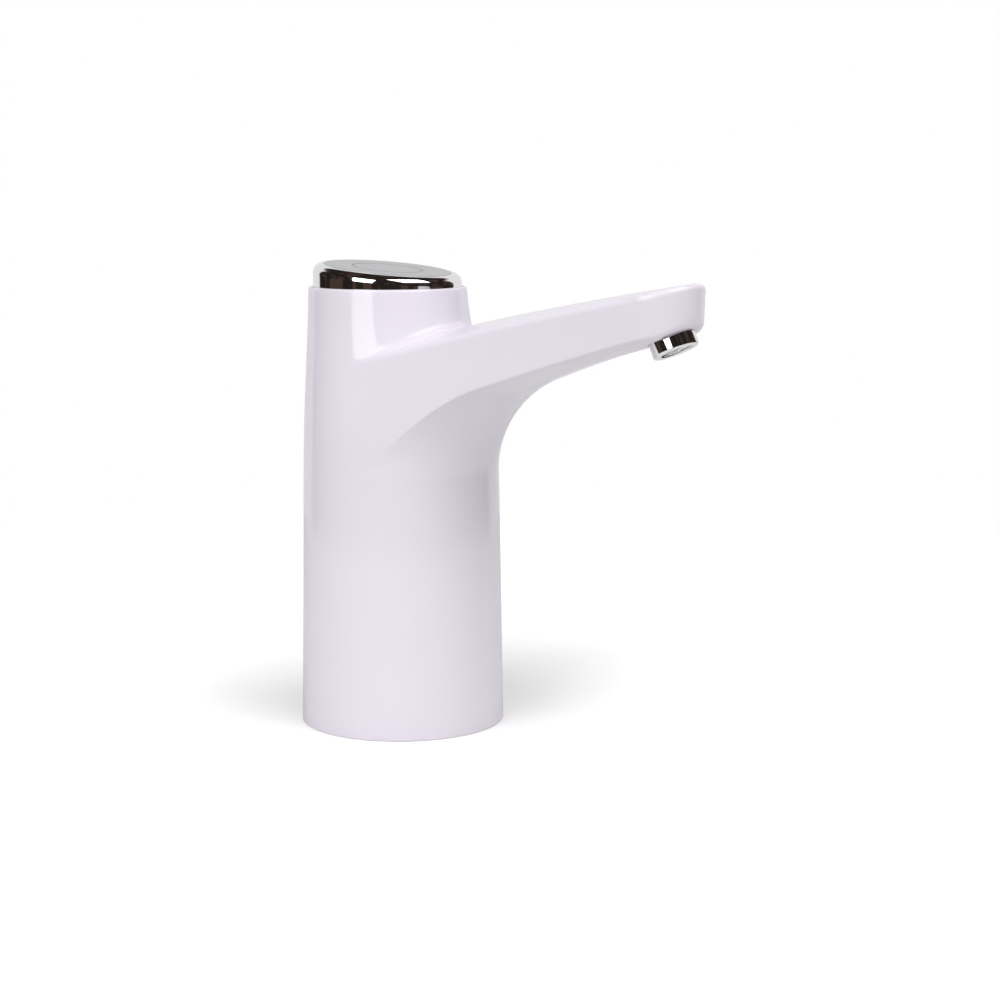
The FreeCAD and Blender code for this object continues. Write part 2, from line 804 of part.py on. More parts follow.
def battery_holder():
    """Open cradle on the chassis: a pedestal, a curved back and an end wall over the cell."""
    outer = battery_radius + shaft_gap + holder_wall
    floor_top = battery_bottom - contact_thickness
    cradle = cylinder(outer, cover_bottom, holder_top, -battery_reach)
    bay = cylinder(
        battery_radius + shaft_gap, floor_top, battery_top + contact_thickness, -battery_reach)
    front_cut = box(
        -battery_reach + cradle_lap, -battery_reach + 2 * outer, -outer, outer,
        cover_bottom, holder_top)
    pump_room = box(
        pump_reach - pump_half_sizes()[0] - seat_gap, pump_reach, -outer, outer,
        cover_bottom, pump_top)
    wall_limit = column_form(wall + seat_gap, chassis_bottom, upper_rib_bottom)
    return cradle.cut(bay).cut(front_cut).cut(pump_room).common(wall_limit)


def battery_contacts():
    """Flat spring plates at the cell's two ends."""
    plates = []
    for low in (battery_bottom - contact_thickness, battery_top):
        high = low + contact_thickness
        plate = cylinder(battery_radius - holder_wall, low, high, -battery_reach)
        front = box(-battery_reach + cradle_lap, 0, -battery_radius, battery_radius, low, high)
        plates.append(plate.cut(front))
    return plates


# ---------------------------------------------------------------- board, switch and socket
def deck_centre():
    return column_centre(deck_top)


def circuit_board():
    """Round board with a tongue that carries the charging socket to the back wall."""
    x = deck_centre()
    tongue_end = column_centre(board_top) - column_radius(board_top) + wall + 3 * seat_gap
    disc = cylinder(board_radius, board_bottom, board_top, x)
    half = socket_width / 2 + board_margin
    tongue = box(tongue_end, x, -half, half, board_bottom, board_top)
    board = joined([disc, tongue])
    for px, py in board_screw_places():
        board = board.cut(cylinder(screw_radius, board_bottom, board_top, px, py))
    return board


def charge_socket():
    """Metal shell of the charging socket, open to the back, with its tongue inside."""
    middle = socket_bottom + socket_height / 2
    front = column_centre(middle) - column_radius(middle) + socket_setback
    half = socket_height / 2
    spread = socket_width / 2 - half
    bodies = []
    for inset in (0.0, socket_sheet):
        radius = half - inset
        length = socket_depth - 2 * inset
        solid = box(front, front + length, -spread, spread, middle - radius, middle + radius)
        for side in (-1, 1):
            end = Part.makeCylinder(radius, length, V(front, side * spread, middle), V(1, 0, 0))
            solid = solid.fuse(end)
        bodies.append(solid)
    tongue = box(
        front + 3 * socket_sheet, front + socket_depth - socket_sheet, -spread, spread,
        middle - socket_sheet, middle + socket_sheet)
    return joined([bodies[0].cut(bodies[1]), tongue])


def push_switch():
    """Body of the push switch, soldered on the board and standing through the deck."""
    half = switch_body_width / 2
    x = deck_centre()
    body = box(x - half, x + half, -half, half, board_top, board_top + switch_body_height)
    hole = cylinder(
        switch_stem_radius + slide_gap, board_top + switch_floor, board_top + switch_body_height, x)
    return body.cut(hole)


def switch_stem():
    """Stem of the push switch; it follows the cap's boss down."""
    low = board_top + switch_floor + cap_travel + seat_gap
    return cylinder(switch_stem_radius, low, boss_bottom(), deck_centre())


def boss_bottom():
    return board_top + switch_body_height + cap_travel + switch_free_height


def button_deck():
    """Plate under the cap: it seats the spring and guides the cap's legs."""
    x = deck_centre()
    radius = column_radius(deck_top) - wall - seat_gap
    deck = cylinder(radius, deck_bottom, deck_top, x)
    deck = deck.cut(cylinder(switch_opening_radius, deck_bottom, deck_top, x))
    seat_inner = spring_coil_radius + spring_wire_radius + seat_gap
    seat = tube(
        seat_inner + spring_seat_wall, seat_inner, deck_top, deck_top + spring_seat_wall, x)
    deck = joined([deck, seat])
    half = leg_half_width + slide_gap
    for px, py in leg_places():
        window = box(px - half, px + half, py - half, py + half, deck_bottom, deck_top)
        deck = deck.cut(window)
    for px, py in board_screw_places():
        deck = deck.fuse(cylinder(screw_radius + deck_post_wall, board_top, deck_bottom, px, py))
        deck = deck.cut(cylinder(screw_radius, board_top, deck_top - deck_skin, px, py))
    for px, py in deck_screw_places():
        deck = deck.cut(cylinder(screw_radius + shaft_gap, deck_bottom, deck_top, px, py))
    return deck.removeSplitter()


def deck_screw_places():
    radius = column_radius(deck_top) - wall - seat_gap - upper_rib_width / 2
    return [(deck_centre() + x, y) for x, y in around(3, radius, 0)]


def deck_screws():
    return [screw(x, y, deck_top, deck_top - deck_screw_length) for x, y in deck_screw_places()]


def board_screw_places():
    return [(deck_centre() + x, y) for x, y in around(3, board_radius - board_screw_inset, 60)]


def board_screws():
    return [screw(x, y, board_bottom, deck_top - deck_skin) for x, y in board_screw_places()]


# ---------------------------------------------------------------- press cap
def leg_places():
    return [(deck_centre() + x, y) for x, y in around(3, leg_ring_radius, 0)]


def cap_top_cutter(depth):
    """Everything above the cap's sloping top, lowered by `depth`."""
    far = 3 * rim_radius
    block = Part.makeBox(2 * far, 2 * far, far, V(-far, -far, 0))
    block.rotate(V(0, 0, 0), V(0, 1, 0), cap_slope)
    block.translate(V(column_centre(rim_height), 0, rim_height + cap_centre_above_rim - depth))
    return block


def cap_radius():
    return rim_radius - wall / 2 - cap_gap


def button_cap():
    """Chromed cap: sloping top, rounded edge, skirt, centre boss and three hooked legs."""
    x = column_centre(rim_height)
    top = rim_height + 2 * cap_centre_above_rim
    outside = cylinder(cap_radius(), cap_skirt_bottom, top, x).cut(cap_top_cutter(0))
    rim_edges = [e for e in outside.Edges if e.BoundBox.ZMax > rim_height + 1 and e.Closed]
    outside = outside.makeFillet(cap_edge_radius, rim_edges)
    inside = cylinder(cap_radius() - cap_wall, cap_skirt_bottom, top, x)
    inside = inside.cut(cap_top_cutter(cap_wall + disc_thickness))
    cap = outside.cut(inside)
    boss = inside.common(cylinder(cap_boss_radius, boss_bottom(), top, deck_centre()))
    cap = cap.fuse(boss)
    for px, py in leg_places():
        cap = cap.fuse(cap_leg(px, py).cut(cap_top_cutter(cap_wall)))
    recess = tilted_disc(disc_radius + shaft_gap, disc_thickness, 2 * cap_edge_radius)
    return cap.cut(recess).removeSplitter()


def cap_leg(x, y):
    """Hooked leg: it drops through the deck, and its hook holds the cap in the housing."""
    size = leg_half_width
    hook_top = deck_bottom - seat_gap
    hook_bottom = hook_top - hook_thickness
    leg = box(x - size, x + size, y - size, y + size, hook_bottom, rim_height + 2 * cap_centre_above_rim)
    hook = box(x - size, x + size, y - size, y + size, hook_bottom, hook_top)
    inward = V(deck_centre() - x, -y, 0)
    hook.translate(inward.normalize() * (hook_thickness + slide_gap))
    return leg.fuse(hook)


def tilted_disc(radius, depth, height):
    """Round plate square to the cap's top: from `depth` below the surface to `height` above."""
    slope = radians(cap_slope)
    normal = V(sin(slope), 0, cos(slope))
    centre = V(column_centre(rim_height), 0, rim_height + cap_centre_above_rim)
    return Part.makeCylinder(radius, depth + height, centre - normal * depth, normal)


def button_disc():
    """Satin disc let into the cap, with one shallow turned groove."""
    groove = tilted_disc(disc_groove_radius, disc_groove_depth, disc_groove_depth)
    core = tilted_disc(disc_groove_radius - disc_groove_width, disc_groove_depth, disc_groove_depth)
    return tilted_disc(disc_radius, disc_thickness, 0.0).cut(groove.cut(core))


def tangent_arc(start, corner, end):
    """The arc from start to end whose two tangents meet at the corner."""
    middle = (start + end) * 0.5
    half_chord = (end - start).Length / 2
    bulge = half_chord * tan(acos(min(1.0, half_chord / (corner - start).Length)) / 2)
    inward = (corner - middle).normalize()
    return Part.Arc(start, middle + inward * bulge, end).toShape()


def coil_path(radius, rise, turns):
    """A helix about Z as tangent arcs, two for each sixth of a turn."""
    pieces = 6 * turns
    places = []
    for i in range(pieces + 1):
        turn = 2 * pi * turns * i / pieces
        climb = rise / (2 * pi * turns)
        place = V(radius * cos(turn), radius * sin(turn), climb * turn)
        places.append((place, V(-radius * sin(turn), radius * cos(turn), climb).normalize()))
    arcs = []
    for (start, way_out), (end, way_in) in zip(places, places[1:]):
        across, both = end - start, way_out + way_in
        bend = 2 * (1 - way_out.dot(way_in))
        reach = (sqrt(across.dot(both) ** 2 + bend * across.dot(across)) - across.dot(both)) / bend
        first, second = start + way_out * reach, end - way_in * reach
        middle = (first + second) * 0.5
        arcs += [tangent_arc(start, first, middle), tangent_arc(middle, second, end)]
    return Part.Wire(arcs)


def button_spring():
    """Return spring between the deck and the cap's ceiling."""
    low = deck_top + spring_wire_radius
    drop = (cap_wall + disc_thickness) / cos(radians(cap_slope))
    offset = column_centre(deck_top) - column_centre(rim_height)
    low_side = spring_coil_radius + spring_wire_radius + offset
    ceiling = rim_height + cap_centre_above_rim - drop - low_side * tan(radians(cap_slope))
    rise = ceiling - spring_wire_radius - seat_gap - low
    path = coil_path(spring_coil_radius, rise, spring_turns)
    begin = path.Edges[0]
    place = begin.valueAt(begin.FirstParameter)
    way = begin.tangentAt(begin.FirstParameter)
    section = Part.Wire(Part.makeCircle(spring_wire_radius, place, way))
    coil = path.makePipeShell([section], True, False)
    coil.translate(V(deck_centre(), 0, low))
    return coil


# ---------------------------------------------------------------- spout and outlet hose
def spout_collar():
    """Chromed collar under the tip, with a neck that goes up through the wall."""
    collar = along_spout(collar_radius, -collar_bury, collar_height)
    edge = [e for e in collar.Edges if e.Closed and e.CenterOfMass.z < spout_axis()[0].z]
    collar = collar.makeFillet(collar_edge_radius, edge)
    neck = along_spout(collar_neck_radius, -collar_bury - collar_neck_length, -collar_bury)
    collar = joined([collar, neck])
    collar = collar.cut(along_spout(collar_bore_radius, -2 * collar_neck_length, collar_height))
    mouth = along_spout(
        collar_bore_radius + collar_mouth_step, collar_height - collar_mouth_step, 2 * collar_height)
    return collar.cut(mouth)


def spout_insert():
    """Flow straightener in the collar: a ring with crossed vanes."""
    high = collar_height - collar_mouth_step
    low = high - insert_length
    outer = collar_bore_radius
    ring = along_spout(outer, low, high, outer - insert_wall)
    disc = along_spout(outer - insert_wall / 2, low, high)
    vanes = []
    for turn in (0, 60, 120):
        corner = V(-vane_thickness / 2, -2 * outer, -2 * outer)
        vane = Part.makeBox(vane_thickness, 4 * outer, 4 * outer, corner)
        vane.rotate(V(0, 0, 0), V(0, 0, 1), turn)
        vane.rotate(V(0, 0, 0), V(0, 1, 0), -collar_tilt)
        vane.translate(spout_axis()[0])
        vanes.append(vane.common(disc))
    return joined([ring] + vanes)


def elbow_start():
    """Distance back along the spout's axis at which the elbow meets the collar's neck."""
    return -collar_bury - collar_neck_length


def hose_end():
    """Where the hose is pushed on to the elbow's barb, and the way the barb points."""
    start, middle, end, slope = hose_route()
    return end, V(cos(slope), 0, sin(slope))


def hose_route():
    """The hose's start, corner and end, and the slope of its run along the arm."""
    start = V(outlet_reach, 0, pump_top + seat_gap)
    corner = V(outlet_reach, 0, ridge_root_height - hose_below_ridge)
    end_x = collar_reach - hose_end_back
    end = V(end_x, 0, arm_top_height(end_x) - wall - hose_radius - hose_headroom)
    slope = asin((end.z - corner.z) / (end - corner).Length)
    return start, corner, end, slope


def spout_elbow():
    """Elbow over the collar's neck, with a barb that points back at the hose."""
    place, way = spout_axis()
    end, along = hose_end()
    bowl = along_spout(elbow_radius, elbow_start() - elbow_roof, elbow_start() + elbow_lap)
    barb_tip = end - along * barb_length
    reach_in = place.x - end.x - elbow_roof
    barb = Part.makeCylinder(hose_bore_radius, barb_length + reach_in, barb_tip, along)
    collar_stop = Part.makeCylinder(hose_radius, reach_in, end + along * seat_gap, along)
    elbow = joined([bowl, barb, collar_stop])
    elbow = elbow.cut(along_spout(collar_neck_radius, elbow_start(), elbow_start() + elbow_lap))
    inner_top = elbow_start() - elbow_bore_depth
    elbow = elbow.cut(along_spout(collar_bore_radius, inner_top, elbow_start()))
    bore = Part.makeCylinder(outlet_bore_radius, barb_length + reach_in, barb_tip, along)
    return elbow.cut(bore).common(body_form(wall + seat_gap))


def outlet_hose():
    """Silicone hose from the pump up the column and out along the arm."""
    start, corner, end, slope = hose_route()
    turn = pi / 2 - slope
    back = hose_bend_radius * tan(turn / 2)
    along = V(cos(slope), 0, sin(slope))
    bend_in = corner - V(0, 0, back)
    bend_out = corner + along * back
    path = Part.Wire([
        Part.LineSegment(start, bend_in).toShape(),
        tangent_arc(bend_in, corner, bend_out),
        Part.LineSegment(bend_out, end).toShape(),
    ])
    walls = []
    for radius in (hose_radius, hose_bore_radius):
        section = Part.Wire(Part.makeCircle(radius, start, V(0, 0, 1)))
        walls.append(path.makePipeShell([section], True, False))
    return walls[0].cut(walls[1])


def hose_clips():
    """Ring clips that hold the hose on its two barbs."""
    start, corner, end, slope = hose_route()
    along = V(cos(slope), 0, sin(slope))
    clips = []
    for place, way in ((start, V(0, 0, 1)), (end, along * -1)):
        low = place + way * clip_setback
        ring = Part.makeCylinder(hose_radius + clip_wall, clip_width, low, way)
        clips.append(ring.cut(Part.makeCylinder(hose_radius, clip_width, low, way)))
    return clips


# ---------------------------------------------------------------- all nodes
def save(name, shape):
    if isinstance(shape, list):
        shape = Part.makeCompound(shape)
    shape.exportStep("parts/" + name + ".step")
    box_size = shape.BoundBox
    print(name, len(shape.Solids), "solid(s)", shape.isValid(), "volume", round(shape.Volume, 1),
          "x", round(box_size.XMin, 2), round(box_size.XMax, 2),
          "z", round(box_size.ZMin, 2), round(box_size.ZMax, 2))


def main():
    os.makedirs("parts", exist_ok=True)
    shell = housing()
    save("housing_left", shell.common(half_space(1)))
    save("housing_right", shell.common(half_space(-1)))
    save("neck_ring", neck_ring())
    save("neck_seal", neck_seal())
    save("neck_ring_screws", neck_screws())
    save("chassis", chassis())
    save("pump_cover", pump_cover())
    save("pump_gasket", pump_gasket())
    save("pump_body", pump_body())
    gear_start = pump_bottom + gear_end_gap
    save("drive_gear", gear(pitch_radius, gear_start, motor_shaft_radius, -90))
    idler_phase = 90 + 180 / tooth_count
    idler_bore = idler_pin_radius + shaft_gap
    save("idler_gear", gear(-pitch_radius, gear_start, idler_bore, idler_phase))
    save("idler_pin", idler_pin())
    save("shaft_seal", shaft_seal())
    save("pump_screws", pump_screws())
    save("motor_can", motor_can())
    save("motor_magnets", motor_magnets())
    save("motor_armature", motor_armature())
    save("motor_shaft", motor_shaft())
    save("motor_end_cap", motor_end_cap())
    save("motor_terminals", motor_terminals())
    save("motor_sleeve", motor_sleeve())
    save("battery_cell", battery_cell())
    save("battery_holder", battery_holder())
    save("battery_contacts", battery_contacts())
    save("outlet_hose", outlet_hose())
    save("hose_clips", hose_clips())
    save("spout_elbow", spout_elbow())
    save("spout_collar", spout_collar())
    save("spout_insert", spout_insert())
    save("button_deck", button_deck())
    save("deck_screws", deck_screws())
    save("circuit_board", circuit_board())
    save("board_screws", board_screws())
    save("push_switch", push_switch())
    save("switch_stem", switch_stem())
    save("charge_socket", charge_socket())
    save("button_cap", button_cap())
    save("button_disc", button_disc())
    save("button_spring", button_spring())


main()
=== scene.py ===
import math
import bmesh
import bpy
from mathutils import Matrix, Vector


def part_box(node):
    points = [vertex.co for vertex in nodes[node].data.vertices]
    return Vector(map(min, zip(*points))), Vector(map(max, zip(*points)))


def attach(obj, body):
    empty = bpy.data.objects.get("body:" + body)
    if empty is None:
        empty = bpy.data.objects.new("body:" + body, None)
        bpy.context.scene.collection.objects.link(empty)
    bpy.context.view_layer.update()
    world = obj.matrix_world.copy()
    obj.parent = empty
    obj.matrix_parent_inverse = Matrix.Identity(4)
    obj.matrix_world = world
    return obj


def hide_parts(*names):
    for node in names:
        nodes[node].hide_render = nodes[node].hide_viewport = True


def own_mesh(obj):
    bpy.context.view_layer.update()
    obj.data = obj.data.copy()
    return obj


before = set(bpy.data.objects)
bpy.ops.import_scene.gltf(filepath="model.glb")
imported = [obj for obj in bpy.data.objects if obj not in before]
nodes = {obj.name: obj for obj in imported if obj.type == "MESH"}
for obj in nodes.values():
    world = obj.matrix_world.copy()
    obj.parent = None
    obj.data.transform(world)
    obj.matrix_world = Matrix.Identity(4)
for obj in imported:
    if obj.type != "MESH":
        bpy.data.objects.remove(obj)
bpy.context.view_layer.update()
mm = 0.001

# ---------------------------------------------------------------- camera
# A long lens a little above the press cap, looking slightly down, with the arm pointing to the
# right and somewhat towards it. It stands camera_reach back from the column's axis and
# camera_side to the right.
lens_length = 75.0
sensor_width = 36.0
camera_turn = math.radians(36.5)
camera_pitch = math.radians(8.58)
camera_reach = 669.3 * mm
camera_side = 31.9 * mm
camera_height = 172.96 * mm

lens = bpy.data.cameras.new("camera")
lens.lens = lens_length
lens.sensor_width = sensor_width
camera = bpy.data.objects.new("camera", lens)
bpy.context.scene.collection.objects.link(camera)
camera.location = (
    camera_side * math.cos(camera_turn) + camera_reach * math.sin(camera_turn),
    camera_side * math.sin(camera_turn) - camera_reach * math.cos(camera_turn),
    camera_height)
camera.rotation_euler = (math.pi / 2 - camera_pitch, 0, camera_turn)
bpy.context.scene.camera = camera


# ---------------------------------------------------------------- housing: form
# The form that the two moulded half shells share: a round column that leans in and back above
# its shoulder, and an arm that fans out of it and ends in a round tip. The arm has a crowned
# top, straight flanks and an underside that flares out of the column.
wall = 2.4 * mm
rim_height = 141.0 * mm
foot_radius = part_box("housing_left")[1].y
column_draft = 0.016
rim_radius = 25.4 * mm
rim_setback = 5.25 * mm
shoulder_height = rim_height - 44.0 * mm
shoulder_softness = 6.0 * mm
crown_band = 12.0 * mm
crown_band_softness = 2.5 * mm
crown_band_lean = 0.35

spout_reach = 96.98 * mm
tip_radius = 14.0 * mm
tip_lean = 0.038
crown_radius = 55.0 * mm
crown_half_width = 24.0 * mm
crown_levelling = 6
ridge_radius = 1300.0 * mm
ridge_root = Vector((30.0 * mm, 0, rim_height - 11.0 * mm))
ridge_tip = Vector((108.0 * mm, 0, rim_height + 3.75 * mm))

flare_height = rim_height - 58.7 * mm
flare_radius = 32.8 * mm
flare_slope = math.radians(22.5)
underside_radius = 440.0 * mm
belly_drop = 2.1 * mm
belly_growth = 1.5
flare_share = 0.35
belly_rounds = 3
settling_rounds = 6
halvings = 40
no_length = 0.0001 * mm
no_corner = 0.00001 * mm

seat_middle = Vector((102.1 * mm, 0, rim_height - 12.3 * mm))
seat_tilt = math.radians(25.0)
seat_half_length = 12.0 * mm
seat_softness = 0.3 * mm

cap_pocket_radius = rim_radius - wall / 2
cap_pocket_floor = rim_height - 8.0 * mm


def soft_step(height, softness):
    """Zero below zero, then one for one with height, with a soft start."""
    return softness * math.log(1 + math.exp(height / softness))


def shoulder_ramp(height):
    """How far the column has leant in: nothing below the shoulder, less and less near the rim."""
    shoulder = soft_step(height - shoulder_height, shoulder_softness)
    band = soft_step(height - rim_height + crown_band, crown_band_softness)
    return shoulder - (1 - crown_band_lean) * band


lean_in = (foot_radius - column_draft * rim_height - rim_radius) / shoulder_ramp(rim_height)
lean_back = rim_setback / shoulder_ramp(rim_height)


def column_radius(height):
    return foot_radius - column_draft * height - lean_in * shoulder_ramp(height)


def column_centre(height):
    return -lean_back * shoulder_ramp(height)


def outline(way_round, height, inset):
    """Direction and distance from the column's axis of the housing's outline at one height.
    way_round is 0 at the tip's nose, 1 where the tip ends, 2 where the flank leaves the column
    and 3 at the back."""
    away = spout_reach + tip_lean * (height - rim_height) - column_centre(height)
    column, tip = column_radius(height) - inset, tip_radius - inset
    turn = math.acos((column - tip) / away)
    if way_round <= 1:
        x, y = away + tip * math.cos(turn * way_round), tip * math.sin(turn * way_round)
        return math.atan2(y, x), math.hypot(x, y)
    if way_round <= 2:
        along = (2 - way_round) * math.sqrt(away ** 2 - (column - tip) ** 2)
        return turn - math.atan2(along, column), math.hypot(column, along)
    return turn + (way_round - 2) * (math.pi - turn), column


def at_column(angle, distance, height):
    """A place given by direction and distance from the leaning column's axis."""
    return Vector((
        column_centre(height) + distance * math.cos(angle), distance * math.sin(angle), height))


def arm_top(x, y, inset):
    """Height of the crowned top of the arm: a wide arc across, swept along the ridge's long arc.
    The crown levels off beside the column."""
    chord = ridge_tip - ridge_root
    middle = (ridge_root + ridge_tip) / 2
    sag = math.sqrt(ridge_radius ** 2 - chord.length_squared / 4)
    centre_x = middle.x + sag * chord.z / chord.length
    centre_z = middle.z - sag * chord.x / chord.length
    beside = (abs(y) / crown_half_width) ** crown_levelling
    across = abs(y) / (1 + beside) ** (1 / crown_levelling)
    lift = math.sqrt((crown_radius - inset) ** 2 - across ** 2)
    return centre_z + math.sqrt((ridge_radius - crown_radius + lift) ** 2 - (x - centre_x) ** 2)


def fan_half_angle(distance, inset):
    """Direction of the flank, seen from the column's axis, at one distance from it."""
    turn, column = outline(2, flare_height, inset)
    if distance < outline(1, flare_height, inset)[1]:
        return turn - math.acos(min(1.0, column / distance))
    return math.asin(min(1.0, (tip_radius - inset) / distance))


def underside(way_round, run, inset):
    """A point of the arm's underside. run is 0 on the column, flare_share where the flare ends,
    and 1 well past the tip."""
    start = column_radius(flare_height)
    corner_x, corner_z = start + flare_radius, flare_height
    if run <= flare_share:
        turn = (math.pi / 2 - flare_slope) * run / flare_share
        distance = corner_x - (flare_radius + inset) * math.cos(turn)
        level = corner_z + (flare_radius + inset) * math.sin(turn)
    else:
        arc_x = corner_x + (underside_radius - flare_radius) * math.sin(flare_slope)
        arc_z = corner_z - (underside_radius - flare_radius) * math.cos(flare_slope)
        end = math.asin((arc_x - spout_reach - 2 * tip_radius) / underside_radius)
        turn = flare_slope + (end - flare_slope) * (run - flare_share) / (1 - flare_share)
        distance = arc_x - (underside_radius + inset) * math.sin(turn)
        level = arc_z + (underside_radius + inset) * math.cos(turn)
    along = max(0.0, distance - start + inset) / (spout_reach - start)
    belly = belly_drop * along ** belly_growth
    height = level
    for _ in range(belly_rounds):
        angle = outline(way_round, height, inset)[0]
        across = min(1.0, angle / fan_half_angle(max(distance, start - inset), inset))
        height = level - belly * (1 - across ** 2)
    shift = column_centre(height) - column_centre(flare_height)
    from_axis = math.sqrt(distance ** 2 - (shift * math.sin(angle)) ** 2) - shift * math.cos(angle)
    point = at_column(angle, from_axis, height)
    if point.x > seat_middle.x - seat_half_length:
        seat = seat_middle.z + (point.x - seat_middle.x) * math.tan(seat_tilt)
        seat += inset / math.cos(seat_tilt)
        point.z = (point.z + seat + math.hypot(point.z - seat, seat_softness)) / 2
    return point


def past_outline(point, way_round, inset):
    """How far a point lies outside the outline at its own height."""
    reach = outline(way_round, point.z, inset)[1]
    return math.hypot(point.x - column_centre(point.z), point.y) - reach


def on_outline(way_round, height, inset):
    return at_column(*outline(way_round, height, inset), height)


def underside_path(way_round, inset, steps):
    """Points from the column out to the arm's lower edge."""
    if way_round >= 2:
        return [on_outline(way_round, flare_height, inset)] * (steps + 1)
    low, high = 0.0, 1.0
    for _ in range(halvings):
        run = (low + high) / 2
        if past_outline(underside(way_round, run, inset), way_round, inset) > 0:
            high = run
        else:
            low = run
    points = [underside(way_round, low * i / steps, inset) for i in range(steps)]
    return points + [on_outline(way_round, underside(way_round, low, inset).z, inset)]


def top_path(way_round, inset, steps):
    """Points from the arm's upper edge in to the column's wall."""
    height = ridge_root.z
    for _ in range(settling_rounds):
        edge = on_outline(way_round, height, inset)
        height = arm_top(edge.x, edge.y, inset)
    edge.z = height
    angle, reach = outline(way_round, height, inset)
    points = [edge]
    for i in range(1, steps + 1):
        for _ in range(settling_rounds):
            column = column_radius(height) - inset
            distance = reach + (column - reach) * i / steps
            point = at_column(angle, distance, height)
            height = arm_top(point.x, point.y, inset)
        points.append(point)
    return points


def flank_path(way_round, low, high, inset, steps):
    """Points up the outline between two heights."""
    rise = [low + (high - low) * i / steps for i in range(steps + 1)]
    return [on_outline(way_round, height, inset) for height in rise]


def lower_wall_path(way_round, inset, steps):
    """Points up the column's wall from the foot to where the arm flares out of it."""
    points = []
    for i in range(steps + 1):
        height = flare_height * i / steps
        angle = outline(way_round, height, inset)[0]
        points.append(at_column(angle, column_radius(height) - inset, height))
    return points


def upper_wall_path(start, high, inset, steps):
    """Points up the column's wall above the arm, from a point on it."""
    angle = math.atan2(start.y, start.x - column_centre(start.z))
    points = [start]
    for i in range(1, steps + 1):
        height = start.z + (high - start.z) * i / steps
        points.append(at_column(angle, column_radius(height) - inset, height))
    return points


def path_length(path):
    return sum((b - a).length for a, b in zip(path, path[1:]))


def respaced(path, count, cut_start, cut_end):
    """The path with its ends cut back, as count + 1 evenly spaced points."""
    total = path_length(path)
    if total < no_length:
        return [path[0].copy() for _ in range(count + 1)]
    wanted = [cut_start + (total - cut_start - cut_end) * i / count for i in range(count + 1)]
    points, passed, leg = [], 0.0, 0
    for distance in wanted:
        span = (path[leg + 1] - path[leg]).length
        while leg < len(path) - 2 and passed + span < distance:
            passed += span
            leg += 1
            span = (path[leg + 1] - path[leg]).length
        share = (distance - passed) / span if span > 0 else 0.0
        points.append(path[leg].lerp(path[leg + 1], share))
    return points


def rounded_corner(start, corner, end, steps):
    """Points of a conic from start to end whose tangents meet at the corner."""
    way_in, way_out = corner - start, end - corner
    if way_in.length < no_corner or way_out.length < no_corner:
        return [corner.copy() for _ in range(steps - 1)]
    weight = math.cos(way_in.angle(way_out) / 2)
    points = []
    for i in range(1, steps):
        t = i / steps
        a, b, c = (1 - t) ** 2, 2 * weight * t * (1 - t), t ** 2
        points.append((start * a + corner * b + end * c) / (a + b + c))
    return points


def profile_with_corners(stretches, corners, most=0.46):
    """One run of points: stretches are (path, count), corners are (cut, cut, steps) between them.
    A corner takes no more than the share `most` of the stretches that meet there."""
    cuts = []
    for (before, _), (after, _), (cut_in, cut_out, steps) in zip(stretches, stretches[1:], corners):
        cuts.append((
            min(cut_in, most * path_length(before)), min(cut_out, most * path_length(after))))
    points = []
    for i, (path, count) in enumerate(stretches):
        cut_start = cuts[i - 1][1] if i > 0 else 0.0
        cut_end = cuts[i][0] if i < len(cuts) else 0.0
        spaced = respaced(path, count, cut_start, cut_end)
        if i > 0:
            corner = path[0]
            points += rounded_corner(points[-1], corner, spaced[0], corners[i - 1][2])
        points += spaced
    return points


# ---------------------------------------------------------------- housing: shells
# Two half shells with an even wall, injection moulded and pressed together on the arm's centre
# plane. Each is one closed mesh: outside, foot, rim, cap pocket and inside. The mating edges are
# very slightly eased, which leaves the fine parting line down the front, the back and the arm.
foot_edge = 0.5 * mm
lower_edge = 0.5 * mm
lower_edge_at_tip = 2.2 * mm
upper_edge = 1.8 * mm
ledge_fillet = 3.2 * mm
rim_edge = 0.9 * mm
pocket_edge = 0.3 * mm
pocket_ledge_share = 0.4
most_spread = 4.0
flank_crowding = 1.5
seam_ease = 0.04 * mm
seam_land = 0.12 * mm
seam_half_gap = 0.003 * mm
same_place = 0.001 * mm
weld_distance = 0.002 * mm
sharp_corner = math.radians(50)

spout_place = Matrix.Translation(seat_middle) @ Matrix.Rotation(math.pi - seat_tilt, 4, "Y")
collar_recess_radius = 7.25 * mm
collar_recess_depth = 1.2 * mm
neck_hole_radius = 5.1 * mm
port_low, port_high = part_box("charge_socket")
port_gap = 0.3 * mm
port_cut_reach = 4 * mm
cut_reach = 8 * mm


